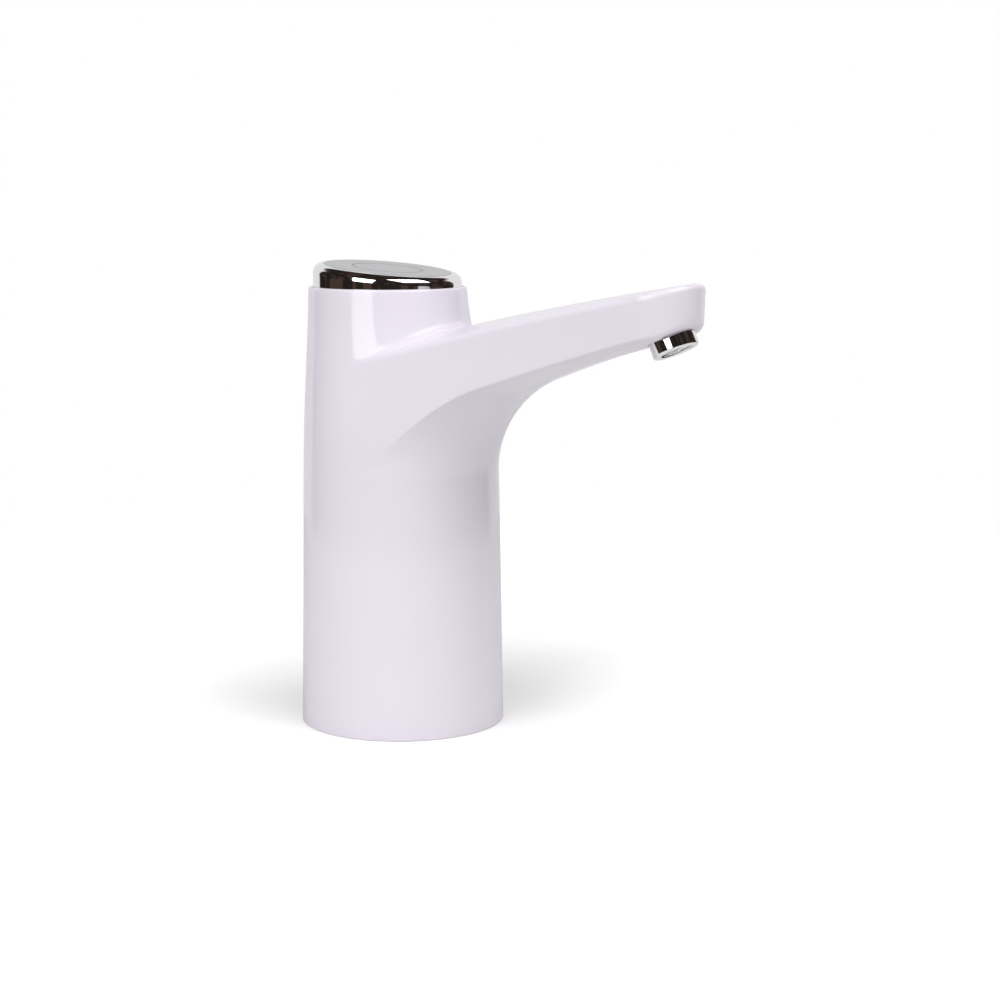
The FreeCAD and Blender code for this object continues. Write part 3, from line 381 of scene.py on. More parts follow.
def shell_profile(way_round, inset):
    """Points from the foot's inner edge up to the floor of the cap pocket, for one direction.
    A stretch is a path and its number of faces. Along a flank a profile crosses the edges at a
    slant, so there the roundings are spread, to keep their width square to the edge. Inside the
    wall, the last two stretches share the narrow ledge that is the pocket's floor."""
    under = underside_path(way_round, inset, 48)
    top = top_path(way_round, inset, 40)
    angle = outline(way_round, 0, inset)[0]
    foot_inside = at_column(angle, column_radius(0) - wall, 0)
    lower = lower_wall_path(way_round, inset, 12)
    foot = [foot_inside, lower[0]]
    flank = flank_path(way_round, under[-1].z, top[0].z, inset, 8)
    tip_share = max(0.0, 1 - way_round) ** 0.5
    crease = lower_edge + (lower_edge_at_tip - lower_edge) * tip_share
    spread = 1.0
    if 1 < way_round < 2:
        slant = outline(way_round, top[0].z, 0)[1] / column_radius(top[0].z)
        spread = min(most_spread, slant)
    rim_angle = math.atan2(top[-1].y, top[-1].x - column_centre(top[-1].z))
    pocket_foot = at_column(rim_angle, cap_pocket_radius, cap_pocket_floor)
    if inset > 0:
        upper = upper_wall_path(top[-1], cap_pocket_floor, inset, 8)
        rim = [upper[-1], upper[-1].lerp(pocket_foot, pocket_ledge_share)]
        pocket = [rim[-1], upper[-1].lerp(pocket_foot, 2 * pocket_ledge_share)]
    else:
        upper = upper_wall_path(top[-1], rim_height, inset, 8)
        lip = at_column(rim_angle, cap_pocket_radius, rim_height)
        rim = [upper[-1], lip]
        pocket = [lip, lip - Vector((0, 0, rim_height - cap_pocket_floor))]
    stretches = [(foot, 2), (lower, 14), (under, 30), (flank, 10), (top, 36), (upper, 8),
                 (rim, 2), (pocket, 4)]
    corners = [(foot_edge, foot_edge, 5), (0, 0, 1), (crease * spread, crease, 6),
               (upper_edge, upper_edge * spread, 8), (ledge_fillet, ledge_fillet, 7),
               (rim_edge, rim_edge, 6), (pocket_edge, pocket_edge, 4)]
    return profile_with_corners(stretches, corners)


def eased_seam(points, side):
    """A profile in the seam's plane, moved into the wall by the seam's ease. side is 1 at the
    front and -1 at the back."""
    eased = []
    for i, point in enumerate(points):
        before, after = i, i
        while before > 0 and (points[before] - point).length < same_place:
            before -= 1
        while after < len(points) - 1 and (points[after] - point).length < same_place:
            after += 1
        way = (points[after] - points[before]).normalized()
        eased.append(point + Vector((-way.z, 0, way.x)) * side * seam_ease)
    return eased


def shell_columns(inset):
    """Profiles all round one half, from the front seam to the back seam. Along the flank they
    crowd towards the column, where the ledge fades out."""
    tip_steps, flank_steps, column_steps = 22, 110, 40
    rounds = [i / tip_steps for i in range(1, tip_steps)]
    rounds += [2 - (1 - i / flank_steps) ** flank_crowding for i in range(flank_steps)]
    rounds += [2 + i / column_steps for i in range(column_steps)]
    columns = [shell_profile(way_round, inset) for way_round in rounds]
    ends = []
    for way_round, side in ((0, 1), (3, -1)):
        profile = shell_profile(way_round, inset)
        land = [Vector((p.x, seam_land, p.z)) for p in profile]
        flat = [Vector((p.x, 0, p.z)) for p in profile]
        if inset == 0:
            flat = eased_seam(flat, side)
        ends.append((land, [Vector((p.x, seam_half_gap, p.z)) for p in flat]))
    return [ends[0][1], ends[0][0]] + columns + [ends[1][0], ends[1][1]]


def placed(name, mesh):
    """A finished bmesh as a smooth-shaded object in the scene."""
    bmesh.ops.remove_doubles(mesh, verts=mesh.verts, dist=weld_distance)
    bmesh.ops.dissolve_degenerate(mesh, edges=mesh.edges, dist=no_length)
    bmesh.ops.recalc_face_normals(mesh, faces=mesh.faces)
    data = bpy.data.meshes.new(name)
    mesh.to_mesh(data)
    mesh.free()
    for polygon in data.polygons:
        polygon.use_smooth = True
    piece = bpy.data.objects.new(name, data)
    bpy.context.scene.collection.objects.link(piece)
    return piece


def half_shell(name, side):
    """One half shell as a closed mesh; side is 1 for the left half and -1 for the right. Each
    loop runs up the outside and down the inside of the wall. The two end loops are capped, and
    their edges are sharp."""
    outside, inside = shell_columns(0.0), shell_columns(wall)
    rows = len(outside[0])
    mesh = bmesh.new()
    loops = []
    for outer, inner in zip(outside, inside):
        loop = outer + inner[::-1][:-1]
        loops.append([mesh.verts.new((p.x, p.y * side, p.z)) for p in loop])
    count = len(loops[0])
    for left, right in zip(loops, loops[1:]):
        for j in range(count):
            k = (j + 1) % count
            mesh.faces.new((left[j], left[k], right[k], right[j]))
    for loop in (loops[0], loops[-1]):
        inner = [loop[0]] + loop[:rows - 1:-1]
        for j in range(rows - 1):
            mesh.faces.new(dict.fromkeys([loop[j], loop[j + 1], inner[j + 1], inner[j]]))
        for j in range(count):
            mesh.edges.get((loop[j - 1], loop[j])).smooth = False
    return placed(name, mesh)


def cut_away(piece, cutter_mesh):
    """Take a closed cutter out of a piece, for good, and leave the cut's corners sharp."""
    cutter = placed("cutter", cutter_mesh)
    cut = piece.modifiers.new("cut", "BOOLEAN")
    cut.object = cutter
    cut.operation = "DIFFERENCE"
    cut.solver = "EXACT"
    bpy.context.view_layer.update()
    seen = piece.evaluated_get(bpy.context.evaluated_depsgraph_get())
    result = bpy.data.meshes.new_from_object(seen)
    piece.modifiers.clear()
    piece.data = result
    bpy.data.objects.remove(cutter)
    mesh = bmesh.new()
    mesh.from_mesh(result)
    for edge in mesh.edges:
        if edge.calc_face_angle(0) > sharp_corner:
            edge.smooth = False
    mesh.to_mesh(result)
    mesh.free()


def round_cutter(radius, low, high):
    """A plug on the spout's axis, between two distances along the stream."""
    mesh = bmesh.new()
    middle = spout_place @ Matrix.Translation((0, 0, (low + high) / 2))
    bmesh.ops.create_cone(
        mesh, cap_ends=True, segments=96, radius1=radius, radius2=radius, depth=high - low,
        matrix=middle)
    return mesh


def port_cutter():
    """A bar with round ends, through the back wall, for the charging port. No corner of it lies
    on the seam's plane."""
    half = (port_high.z - port_low.z) / 2 + port_gap
    spread = (port_high.y - port_low.y) / 2 + port_gap - half
    middle = (port_high.z + port_low.z) / 2
    mesh = bmesh.new()
    near, far = [], []
    steps = 64
    for i in range(steps):
        turn = 2 * math.pi * (i + 0.5) / steps
        y = math.copysign(spread, math.cos(turn)) + half * math.cos(turn)
        z = middle + half * math.sin(turn)
        near.append(mesh.verts.new((port_low.x - port_cut_reach, y, z)))
        far.append(mesh.verts.new((port_low.x + port_cut_reach, y, z)))
    mesh.faces.new(near)
    mesh.faces.new(far)
    for i in range(steps):
        j = (i + 1) % steps
        mesh.faces.new((near[i], near[j], far[j], far[i]))
    return mesh


# ---------------------------------------------------------------- housing: finish
# High-gloss moulded plastic, white with a trace of lilac. The polish is even, but the sheen
# shows the slight waviness that a moulded wall keeps as it cools, and a few smears. The halves
# are cut for the spout collar's seat and neck and for the charging port.
class Wire:
    """A number on a shader wire. Arithmetic on it adds Math nodes."""

    def __init__(self, finish, socket):
        self.finish = finish
        self.socket = socket

    def __add__(self, other):
        return self.finish.maths("ADD", self, other)

    def __mul__(self, other):
        return self.finish.maths("MULTIPLY", self, other)

    def __gt__(self, other):
        return self.finish.maths("GREATER_THAN", self, other)

    def __lt__(self, other):
        return self.finish.maths("LESS_THAN", self, other)

    __radd__ = __add__
    __rmul__ = __mul__


class Finish:
    """The nodes of one material or of the world."""

    def __init__(self, owner):
        self.owner = owner
        owner.use_nodes = True
        self.tree = owner.node_tree
        self.tree.nodes.clear()

    def node(self, kind, output, settings, inputs):
        """Add a node: its settings first, then its inputs, each a value or a wire."""
        made = self.tree.nodes.new(kind)
        for name, value in settings.items():
            setattr(made, name, value)
        for name, value in inputs.items():
            if isinstance(value, Wire):
                self.tree.links.new(value.socket, made.inputs[name])
            else:
                made.inputs[name].default_value = value
        return None if output is None else Wire(self, made.outputs[output])

    def maths(self, operation, first, second):
        return self.node("ShaderNodeMath", 0, {"operation": operation}, {0: first, 1: second})

    def place(self):
        """Places on the piece, in metres."""
        return self.node("ShaderNodeTexCoord", "Object", {}, {})

    def noise(self, size, detail=2.0):
        """Soft noise from 0 to 1, with features about `size` wide."""
        return self.node(
            "ShaderNodeTexNoise", "Fac", {},
            {"Vector": self.place(), "Scale": 1.0 / size, "Detail": detail})

    def between(self, share, first, second):
        """The colour at a share of the way from the first to the second."""
        return self.node(
            "ShaderNodeMix", 2, {"data_type": "RGBA"},
            {0: share, 6: (*first, 1), 7: (*second, 1)})

    def relief(self, height, depth):
        """A surface raised by `depth` where the height is 1."""
        return self.node("ShaderNodeBump", "Normal", {}, {"Height": height, "Distance": depth})

    def surface(self, inputs):
        """End the material with its shader."""
        shader = self.node("ShaderNodeBsdfPrincipled", "BSDF", {}, inputs)
        self.node("ShaderNodeOutputMaterial", None, {}, {"Surface": shader})
        return self.owner


def gloss_shell():
    """Gloss plastic, a little clouded, wavy from the mould, with faint smears."""
    finish = Finish(bpy.data.materials.new("gloss shell"))
    cooling = finish.noise(45 * mm)
    waviness = finish.noise(16 * mm)
    smears = finish.noise(9 * mm, 4.0)
    return finish.surface({
        "Base Color": finish.between(cooling, (0.775, 0.73, 0.812), (0.795, 0.75, 0.832)),
        "Roughness": 0.07 + 0.07 * smears,
        "IOR": 1.5,
        "Normal": finish.relief(waviness, 0.012 * mm)})


shell_finish = gloss_shell()
for half, side in (("left", 1), ("right", -1)):
    shell = half_shell("shell_" + half, side)
    cut_away(shell, round_cutter(collar_recess_radius, -collar_recess_depth, cut_reach))
    cut_away(shell, round_cutter(neck_hole_radius, -cut_reach, 0.0))
    cut_away(shell, port_cutter())
    shell.data.materials.append(shell_finish)
    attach(shell, "housing")
    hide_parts("housing_" + half)


# ---------------------------------------------------------------- neck ring, seal and screws
# The plain white ring that slips over the jug's neck, moulded in a satin finish, with a soft
# silicone seal in its groove. Three zinc-plated screws hold it up against the chassis.
def moulded(name, dark, light, roughness, grain):
    """Satin or matt moulded plastic: fine spark-eroded grain, a little unevenness in the sheen."""
    finish = Finish(bpy.data.materials.new(name))
    texture = finish.noise(grain, 3.0)
    return finish.surface({
        "Base Color": finish.between(finish.noise(14 * mm), dark, light),
        "Roughness": roughness + 0.12 * finish.noise(6 * mm, 3.0),
        "Normal": finish.relief(texture, 0.03 * grain)})


def plated(name, dark, light, roughness):
    """Plated or drawn steel: fine drag lines across a clouded, slightly worn plating."""
    finish = Finish(bpy.data.materials.new(name))
    stretched = finish.node(
        "ShaderNodeMapping", 0, {}, {"Vector": finish.place(), "Scale": (1.0, 1.0, 12.0)})
    lines = finish.node(
        "ShaderNodeTexNoise", "Fac", {}, {"Vector": stretched, "Scale": 1 / mm, "Detail": 3.0})
    return finish.surface({
        "Base Color": finish.between(finish.noise(5 * mm, 3.0), dark, light),
        "Metallic": 1.0,
        "Roughness": roughness + 0.15 * lines,
        "Normal": finish.relief(lines, 0.01 * mm)})


def soft(name, dark, light, roughness, depth):
    """Silicone or rubber: matt, slightly mottled; light goes a little way in when depth is set."""
    finish = Finish(bpy.data.materials.new(name))
    mottle = finish.noise(1.2 * mm, 4.0)
    return finish.surface({
        "Base Color": finish.between(finish.noise(8 * mm), dark, light),
        "Roughness": roughness + 0.15 * mottle,
        "Subsurface Weight": 0.4 if depth > 0 else 0.0,
        "Subsurface Radius": (1.0, 0.95, 0.9),
        "Subsurface Scale": depth,
        "Normal": finish.relief(mottle, 0.02 * mm)})


def dress(material, *names):
    """Give a material to solids of the model."""
    for name in names:
        for place in nodes[name].material_slots:
            place.material = material


inner_white = moulded("inner white", (0.70, 0.70, 0.69), (0.78, 0.78, 0.77), 0.38, 0.35 * mm)
silicone = soft("silicone", (0.72, 0.74, 0.73), (0.80, 0.81, 0.80), 0.38, 1.5 * mm)
zinc = plated("zinc-plated screw", (0.50, 0.51, 0.53), (0.62, 0.63, 0.64), 0.28)
dress(inner_white, "neck_ring")
dress(silicone, "neck_seal")
dress(zinc, "neck_ring_screws")

# ---------------------------------------------------------------- chassis and gear pump
# The chassis plate carries the works. Under it hangs the spigot for the suction hose; on it sits
# the pump, moulded in glass-filled plastic, with two acetal gears on steel and a rubber gasket.
pump_plastic = moulded(
    "glass-filled plastic", (0.035, 0.035, 0.037), (0.06, 0.06, 0.065), 0.5, 0.2 * mm)
acetal = moulded("acetal", (0.74, 0.71, 0.61), (0.80, 0.77, 0.68), 0.3, 0.5 * mm)
rubber = soft("black rubber", (0.018, 0.018, 0.018), (0.035, 0.034, 0.033), 0.62, 0.0)
dress(inner_white, "chassis")
dress(pump_plastic, "pump_cover", "pump_body")
dress(acetal, "drive_gear", "idler_gear")
dress(rubber, "pump_gasket", "shaft_seal")
dress(zinc, "idler_pin", "pump_screws")

# ---------------------------------------------------------------- motor
# A small direct-current motor: drawn and plated can, two ferrite magnets, a wound three-pole
# armature and a plastic end cap. A rubber sleeve keeps its hum out of the housing.
def wound_copper():
    """Enamelled copper wire in even turns, painted darker in the grooves and lighter on the crowns:
    painted shade and painted highlight.
    """
    finish = Finish(bpy.data.materials.new("enamelled winding"))
    turns_and_painted_shade = finish.node(
        "ShaderNodeTexWave", "Fac", {"bands_direction": "Z"},
        {"Vector": finish.place(), "Scale": 0.5 / mm, "Distortion": 1.5})
    return finish.surface({
        # painted shade in the grooves between turns and a painted highlight on each crown
        "Base Color": finish.between(turns_and_painted_shade, (0.30, 0.10, 0.04), (0.72, 0.36, 0.18)),
        "Metallic": 1.0,
        "Roughness": 0.25 + 0.2 * finish.noise(2 * mm),
        "Normal": finish.relief(turns_and_painted_shade, 0.15 * mm)})


def sintered_ferrite():
    """Pressed and baked magnet powder: dull, dark and grainy."""
    finish = Finish(bpy.data.materials.new("ferrite"))
    grains = finish.node(
        "ShaderNodeTexVoronoi", "Distance", {}, {"Vector": finish.place(), "Scale": 2.0 / mm})
    return finish.surface({
        "Base Color": finish.between(grains, (0.03, 0.03, 0.032), (0.07, 0.07, 0.075)),
        "Roughness": 0.6 + 0.2 * grains,
        "Normal": finish.relief(grains, 0.02 * mm)})


drawn_can = plated("drawn can", (0.60, 0.60, 0.61), (0.70, 0.70, 0.71), 0.22)
dress(drawn_can, "motor_can")
dress(sintered_ferrite(), "motor_magnets")
dress(wound_copper(), "motor_armature")
dress(zinc, "motor_shaft", "motor_terminals")
dress(inner_white, "motor_end_cap")
dress(rubber, "motor_sleeve")

# ---------------------------------------------------------------- battery
# One rechargeable cell in shrink wrap, which puckers where it turns over the ends. It stands in
# an open cradle, between two spring contacts.
def shrink_wrap():
    """Smooth blue wrap, puckered at the cell's two ends."""
    finish = Finish(bpy.data.materials.new("shrink wrap"))
    low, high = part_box("battery_cell")
    height = finish.node("ShaderNodeSeparateXYZ", "Z", {}, {"Vector": finish.place()})
    at_end = (height < low.z + 3 * mm) + (height > high.z - 4 * mm)
    pucker = finish.noise(1.5 * mm, 3.0) * at_end
    return finish.surface({
        "Base Color": finish.between(finish.noise(20 * mm), (0.03, 0.13, 0.36), (0.05, 0.18, 0.44)),
        "Roughness": 0.22 + 0.2 * finish.noise(7 * mm),
        "Normal": finish.relief(pucker, 0.2 * mm)})


dress(shrink_wrap(), "battery_cell")
dress(inner_white, "battery_holder")
dress(zinc, "battery_contacts")

# ---------------------------------------------------------------- outlet hose and elbow
# Silicone hose from the pump's outlet up the column and out along the arm, held on its barbs by
# ring clips. The elbow turns the water down into the collar's neck.
dress(silicone, "outlet_hose")
dress(zinc, "hose_clips")
dress(inner_white, "spout_elbow")

# ---------------------------------------------------------------- spout collar
# Brass collar, turned, polished and chromed, pushed up into its seat under the tip. Inside it a
# plastic insert with crossed vanes calms the stream.
collar_radius = 7.1 * mm
collar_drop = 4.1 * mm
collar_edge = 0.6 * mm
collar_neck_radius = 4.8 * mm
collar_neck_end = -5.4 * mm
collar_bore_radius = 4.0 * mm
collar_mouth_radius = 5.0 * mm
collar_mouth_depth = 1.0 * mm
broken_edge = 0.12 * mm
collar_steps = 128


def chrome():
    """Polished chrome plating, very slightly wavy and smeared."""
    finish = Finish(bpy.data.materials.new("chrome"))
    smears = finish.noise(5 * mm, 4.0)
    return finish.surface({
        "Base Color": finish.between(finish.noise(12 * mm), (0.86, 0.86, 0.87), (0.92, 0.92, 0.92)),
        "Metallic": 1.0,
        "Roughness": 0.03 + 0.05 * smears,
        "Normal": finish.relief(finish.noise(10 * mm), 0.01 * mm)})


def crisp(piece):
    """Let broad faces keep their own light, so that narrow rounded edges beside them stay crisp."""
    shading = piece.modifiers.new("shading", "WEIGHTED_NORMAL")
    shading.weight = 80
    shading.keep_sharp = True


def turned(name, columns):
    """A piece of revolution from its closed sections, one for each direction round the axis."""
    mesh = bmesh.new()
    loops = [[mesh.verts.new(p) for p in column] for column in columns]
    for left, right in zip(loops, loops[1:] + loops[:1]):
        for j in range(len(left)):
            k = (j + 1) % len(left)
            mesh.faces.new((left[j], left[k], right[k], right[j]))
    return placed(name, mesh)


def collar_section(turn):
    """The collar's section in one direction round the stream."""
    def at(radius, along):
        return spout_place @ Vector((radius * math.cos(turn), radius * math.sin(turn), along))

    corners = [
        at(collar_mouth_radius, collar_drop), at(collar_radius, collar_drop),
        at(collar_radius, -collar_recess_depth), at(collar_neck_radius, -collar_recess_depth),
        at(collar_neck_radius, collar_neck_end), at(collar_bore_radius, collar_neck_end),
        at(collar_bore_radius, collar_drop - collar_mouth_depth),
        at(collar_mouth_radius, collar_drop - collar_mouth_depth)]
    ring = corners + corners[:1]
    stretches = [([a, b], 2) for a, b in zip(ring, ring[1:])]
    rounds = [(collar_edge, collar_edge, 7)] + [(broken_edge, broken_edge, 3)] * 6
    return profile_with_corners(stretches, rounds)


sections = [collar_section(2 * math.pi * i / collar_steps) for i in range(collar_steps)]
collar = turned("collar", sections)
crisp(collar)
chrome_finish = chrome()
collar.data.materials.append(chrome_finish)
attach(collar, "housing")
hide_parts("spout_collar")
dress(inner_white, "spout_insert")

# ---------------------------------------------------------------- deck, board, switch and port
# Under the cap: a white deck that guides its legs, and below it the round circuit board with
# the push switch and, at the back, the metal shell of the charging port.
def solder_mask():
    """Green lacquer over the board's raised tracks."""
    finish = Finish(bpy.data.materials.new("solder mask"))
    tracks = finish.noise(3.5 * mm, 1.0) > 0.52
    return finish.surface({
        "Base Color": finish.between(tracks, (0.012, 0.11, 0.045), (0.03, 0.20, 0.08)),
        "Roughness": 0.25 + 0.15 * finish.noise(2 * mm),
        "Normal": finish.relief(tracks, 0.03 * mm)})


switch_black = moulded("switch black", (0.02, 0.02, 0.02), (0.035, 0.035, 0.035), 0.4, 0.15 * mm)
dress(inner_white, "button_deck")
dress(zinc, "deck_screws", "board_screws")
dress(solder_mask(), "circuit_board")
dress(switch_black, "push_switch", "switch_stem")
dress(drawn_can, "charge_socket")

# ---------------------------------------------------------------- press cap
# Moulded and chromed cap that sinks into the rim against a wire spring. Its top falls towards
# the arm, its edge is well rounded, and a satin-plated disc is let into it. A boss under it
# meets the switch, and three hooked legs hold it in the deck.
cap_radius = 23.9 * mm
cap_wall = 1.6 * mm
cap_edge = 2.9 * mm
cap_foot_edge = 0.3 * mm
cap_ceiling_fillet = 0.5 * mm
cap_rise = 5.84 * mm
cap_slope = math.radians(6.0)
cap_skirt = rim_height - 5.5 * mm
recess_radius = 20.45 * mm
recess_depth = 0.8 * mm
recess_edge = 0.15 * mm
cap_middle = Vector((-rim_setback, 0, rim_height + cap_rise))
cap_square = Vector((math.sin(cap_slope), 0, math.cos(cap_slope)))
boss_radius = 3.4 * mm
boss_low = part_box("switch_stem")[1].z
leg_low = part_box("button_cap")[0].z
leg_count = 3
leg_ring = 15.5 * mm
leg_width = 2.4 * mm
hook_height = 0.8 * mm
hook_reach = 1.1 * mm
cap_steps = 160


def cap_section(turn):
    """The cap's section in one direction round its axis."""
    way = Vector((math.cos(turn), math.sin(turn), 0))
    fall = Vector((0, 0, -math.tan(cap_slope) * way.x))
    foot = Vector((cap_middle.x, 0, cap_skirt))
    inner_radius = cap_radius - cap_wall
    rim = cap_middle + (way + fall) * cap_radius
    outward = Vector((way.x * math.cos(cap_slope), way.y, -way.x * math.sin(cap_slope)))
    lip = cap_middle + outward * recess_radius
    floor = lip - cap_square * recess_depth
    middle = cap_middle - cap_square * recess_depth
    ceiling = cap_middle - cap_square * (recess_depth + cap_wall)
    corner = ceiling + (way + fall) * inner_radius
    inner_foot = foot + way * inner_radius
    outer_foot = foot + way * cap_radius
    stretches = [
        ([inner_foot, outer_foot], 1), ([outer_foot, rim], 6), ([rim, lip], 2),
        ([lip, floor], 1), ([floor, middle], 4), ([middle, ceiling], 1),
        ([ceiling, corner], 4), ([corner, inner_foot], 3)]
    bend = Vector((0, 0, 1)).angle(lip - rim)
    wanted = cap_edge * math.tan(bend / 2)
    land = min(wanted, (lip - rim).length - 2 * recess_edge)
    corners = [(cap_foot_edge, cap_foot_edge, 4), (wanted, land, 14),
               (recess_edge, recess_edge, 3), (0, 0, 1), (0, 0, 1), (0, 0, 1),
               (cap_ceiling_fillet, cap_ceiling_fillet, 3)]
    return profile_with_corners(stretches, corners, most=0.95)


def block(mesh, low, high):
    """Add a plain block with eased edges to a mesh."""
    shape = Matrix.Translation((low + high) / 2) @ Matrix.Diagonal((*(high - low), 1))
    made = bmesh.ops.create_cube(mesh, size=1, matrix=shape)["verts"]
    edges = list({edge for vertex in made for edge in vertex.link_edges})
    bmesh.ops.bevel(
        mesh, geom=edges, offset=broken_edge, segments=2, profile=0.5, affect="EDGES")


def cap_inside():
    """The boss that meets the switch, and three hooked legs that pass down through the deck."""
    mesh = bmesh.new()
    deck_middle = (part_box("button_deck")[0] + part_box("button_deck")[1]) / 2
    ceiling = cap_middle.z - recess_depth - cap_wall / 2
    boss = Matrix.Translation((deck_middle.x, 0, (boss_low + ceiling) / 2))
    bmesh.ops.create_cone(
        mesh, cap_ends=True, segments=48, radius1=boss_radius, radius2=boss_radius,
        depth=ceiling - boss_low, matrix=boss)
    for i in range(leg_count):
        turn = 2 * math.pi * i / leg_count
        way = Vector((math.cos(turn), math.sin(turn), 0))
        leg = Vector((deck_middle.x, 0, leg_low)) + way * leg_ring
        half = Vector((leg_width / 2, leg_width / 2, 0))
        top = ceiling - math.tan(cap_slope) * (leg.x - cap_middle.x)
        block(mesh, leg - half, Vector((leg.x, leg.y, top)) + half)
        hook = leg - way * hook_reach
        block(mesh, hook - half, hook + half + Vector((0, 0, hook_height)))
    return placed("cap_inside", mesh)


def turned_satin():
    """Satin plating on a turned face: fine rings round the disc's middle."""
    finish = Finish(bpy.data.materials.new("turned satin"))
    on_disc = finish.node(
        "ShaderNodeMapping", 0, {"vector_type": "TEXTURE"},
        {"Vector": finish.place(), "Location": cap_middle, "Rotation": (0, cap_slope, 0)})
    flat = finish.node(
        "ShaderNodeVectorMath", 0, {"operation": "MULTIPLY"}, {0: on_disc, 1: (1, 1, 0)})
    radius = finish.node("ShaderNodeVectorMath", "Value", {"operation": "LENGTH"}, {0: flat})
    rings = finish.node(
        "ShaderNodeTexNoise", "Fac", {"noise_dimensions": "1D"},
        {"W": radius, "Scale": 2.5 / mm, "Detail": 3.0})
    smears = finish.noise(8 * mm, 3.0)
    return finish.surface({
        "Base Color": finish.between(rings, (0.55, 0.545, 0.55), (0.70, 0.695, 0.70)),
        "Metallic": 0.72,
        "Roughness": 0.24 + 0.14 * rings + 0.06 * smears,
        "Normal": finish.relief(rings, 0.02 * mm)})


cap = turned("cap", [cap_section(2 * math.pi * i / cap_steps) for i in range(cap_steps)])
crisp(cap)
cap.data.materials.append(chrome_finish)
inside = cap_inside()
inside.data.materials.append(inner_white)
for piece, slot in ((cap, "chrome"), (inside, "inner_white")):
    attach(piece, "press_cap")
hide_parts("button_cap")
dress(turned_satin(), "button_disc")
dress(zinc, "button_spring")
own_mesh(nodes["button_spring"])

# ---------------------------------------------------------------- studio
# A round white table in a white room, with a tall softbox left of the camera, a wide one high to
# its right and one nearly overhead. Polished surfaces mirror the first two, and a dim, furnished
# room on the camera's side and above. A low bright band on the right only lights the pump.
table_radius = 450 * mm
towards_camera = Vector((math.sin(camera_turn), -math.cos(camera_turn), 0))
rightwards = Vector((math.cos(camera_turn), math.sin(camera_turn), 0))
aim = Vector((30 * mm, 0, 80 * mm))

shadow_middle = rightwards * 12 * mm - towards_camera * 45 * mm
shadow_size = (80 * mm, 100 * mm, 1)
table_lift_least = 0.06
table_lift_growth = 0.32
table_lift_most = 0.60

room_level = 0.35
dim_side_reach = 0.60
dim_side_start = -0.03
dim_side_full = 0.05
dim_above_start = 0.50
dim_above_full = 0.62
furniture_scale = 4.0
furniture_edge = 0.55
panel_way = Matrix.Rotation(math.radians(45), 3, "Z") @ towards_camera
panel_half_angle = math.radians(64)
panel_low = math.radians(2)
panel_high = math.radians(14)
panel_level = 1.0


def table():
    """A round sheet of white paper. For the camera it has a glow of its own, which grows away
    from the middle of the pump's shadow, so that the paper is white all round that shadow."""
    mesh = bmesh.new()
    bmesh.ops.create_circle(mesh, cap_ends=True, radius=table_radius, segments=96)
    surface = placed("table", mesh)
    finish = Finish(bpy.data.materials.new("white paper"))
    fibre = finish.noise(0.6 * mm, 3.0)
    diffuse = finish.node(
        "ShaderNodeBsdfDiffuse", 0, {},
        {"Color": finish.between(fibre, (0.76, 0.76, 0.76), (0.78, 0.78, 0.78))})
    ray = finish.node("ShaderNodeLightPath", "Is Camera Ray", {}, {})
    from_shadow = finish.node(
        "ShaderNodeMapping", 0, {"vector_type": "TEXTURE"},
        {"Vector": finish.place(), "Location": shadow_middle, "Rotation": (0, 0, camera_turn),
         "Scale": shadow_size})
    away = finish.node("ShaderNodeVectorMath", "Value", {"operation": "LENGTH"}, {0: from_shadow})
    lift = finish.maths("MINIMUM", table_lift_least + table_lift_growth * away, table_lift_most)
    lit = finish.node("ShaderNodeEmission", 0, {}, {"Color": (1, 1, 1, 1), "Strength": ray * lift})
    both = finish.node("ShaderNodeAddShader", 0, {}, {0: diffuse, 1: lit})
    finish.node("ShaderNodeOutputMaterial", None, {}, {"Surface": both})
    surface.data.materials.append(finish.owner)


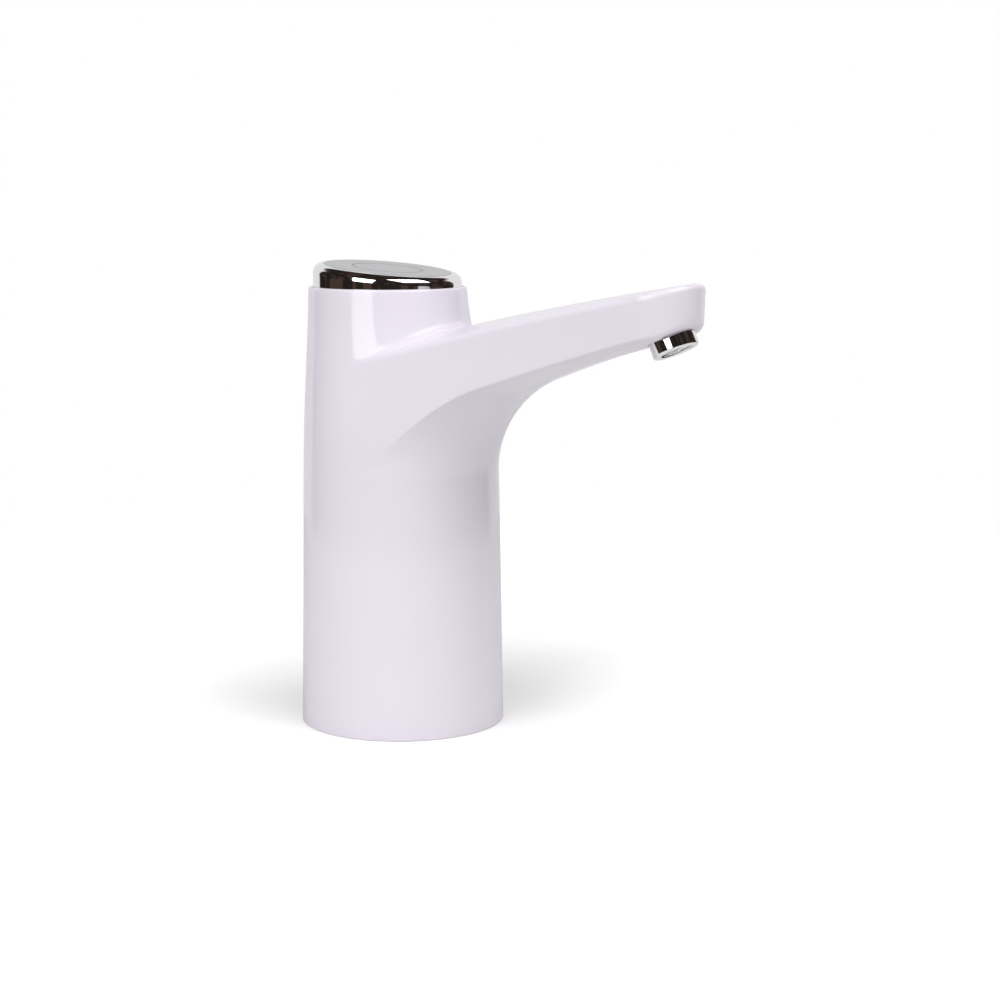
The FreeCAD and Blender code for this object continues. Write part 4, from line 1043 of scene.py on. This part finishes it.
def room():
    """White for the camera. Mirrors see it dim, with dark furniture, on the camera's side and
    above. It lights the pump evenly, and more from the low band on the right."""
    finish = Finish(bpy.data.worlds.new("room"))
    bpy.context.scene.world = finish.owner
    way = finish.node("ShaderNodeTexCoord", "Generated", {}, {})
    level = finish.node(
        "ShaderNodeVectorMath", 0, {"operation": "MULTIPLY"}, {0: way, 1: (1, 1, 0)})
    ahead = finish.node(
        "ShaderNodeVectorMath", "Value", {"operation": "DOT_PRODUCT"},
        {0: level, 1: towards_camera})
    spread = finish.node("ShaderNodeVectorMath", "Value", {"operation": "LENGTH"}, {0: level})
    rise = finish.node("ShaderNodeSeparateXYZ", "Z", {}, {"Vector": way})
    dim_side = finish.node(
        "ShaderNodeMapRange", 0, {"interpolation_type": "SMOOTHSTEP"},
        {"Value": ahead + dim_side_reach * spread, "From Min": dim_side_start,
         "From Max": dim_side_full})
    dim_above = finish.node(
        "ShaderNodeMapRange", 0, {"interpolation_type": "SMOOTHSTEP"},
        {"Value": rise, "From Min": dim_above_start, "From Max": dim_above_full})
    clutter = finish.node(
        "ShaderNodeTexNoise", "Fac", {}, {"Vector": way, "Scale": furniture_scale, "Detail": 1.0})
    furniture = finish.between(
        clutter > furniture_edge, (0.018, 0.014, 0.013), (0.060, 0.036, 0.028))
    dim = finish.maths("MAXIMUM", dim_side, dim_above)
    rightward = finish.node(
        "ShaderNodeVectorMath", "Value", {"operation": "DOT_PRODUCT"}, {0: level, 1: panel_way})
    panel = (rightward > math.cos(panel_half_angle) * spread) * (rise > math.sin(panel_low))
    panel = panel * (rise < math.sin(panel_high)) * panel_level
    seen = finish.node(
        "ShaderNodeMix", 2, {"data_type": "RGBA"}, {0: dim, 6: (0.80, 0.80, 0.82, 1), 7: furniture})
    camera_ray = finish.node("ShaderNodeLightPath", "Is Camera Ray", {}, {})
    glossy_ray = finish.node("ShaderNodeLightPath", "Is Glossy Ray", {}, {})
    light = finish.node(
        "ShaderNodeBackground", 0, {}, {"Color": (1, 1, 1, 1), "Strength": panel + room_level})
    mirror = finish.node("ShaderNodeBackground", 0, {}, {"Color": seen, "Strength": 1.0})
    white = finish.node("ShaderNodeBackground", 0, {}, {"Color": (1, 1, 1, 1), "Strength": 1.0})
    lit = finish.node("ShaderNodeMixShader", 0, {}, {0: glossy_ray, 1: light, 2: mirror})
    shown = finish.node("ShaderNodeMixShader", 0, {}, {0: camera_ray, 1: lit, 2: white})
    finish.node("ShaderNodeOutputWorld", None, {}, {"Surface": shown})


def softbox(name, round_degrees, rise_degrees, distance, width, height, brightness, mirrored=True):
    """An evenly lit panel that faces the pump. round_degrees is its direction, counted to the
    right from the camera's, and rise_degrees its height above the table's plane."""
    panel = bpy.data.lights.new(name, "AREA")
    panel.shape = "RECTANGLE"
    panel.size = width
    panel.size_y = height
    panel.energy = brightness * math.pi * width * height
    lamp = bpy.data.objects.new(name, panel)
    bpy.context.scene.collection.objects.link(lamp)
    lamp.visible_glossy = mirrored
    level = Matrix.Rotation(math.radians(round_degrees), 3, "Z") @ towards_camera
    rise = math.radians(rise_degrees)
    lamp.location = aim + distance * (level * math.cos(rise) + Vector((0, 0, math.sin(rise))))
    lamp.rotation_euler = (aim - lamp.location).to_track_quat("-Z", "Y").to_euler()


table()
room()
softbox(
    "left softbox", round_degrees=-36, rise_degrees=27, distance=1.5, width=0.85, height=1.09,
    brightness=3.35)
softbox(
    "right softbox", round_degrees=58, rise_degrees=58, distance=1.2, width=0.90, height=0.70,
    brightness=2.7)
softbox(
    "overhead softbox", round_degrees=25, rise_degrees=76, distance=1.3, width=1.2, height=0.9,
    brightness=1.35, mirrored=False)
bpy.context.scene.view_settings.view_transform = "Standard"
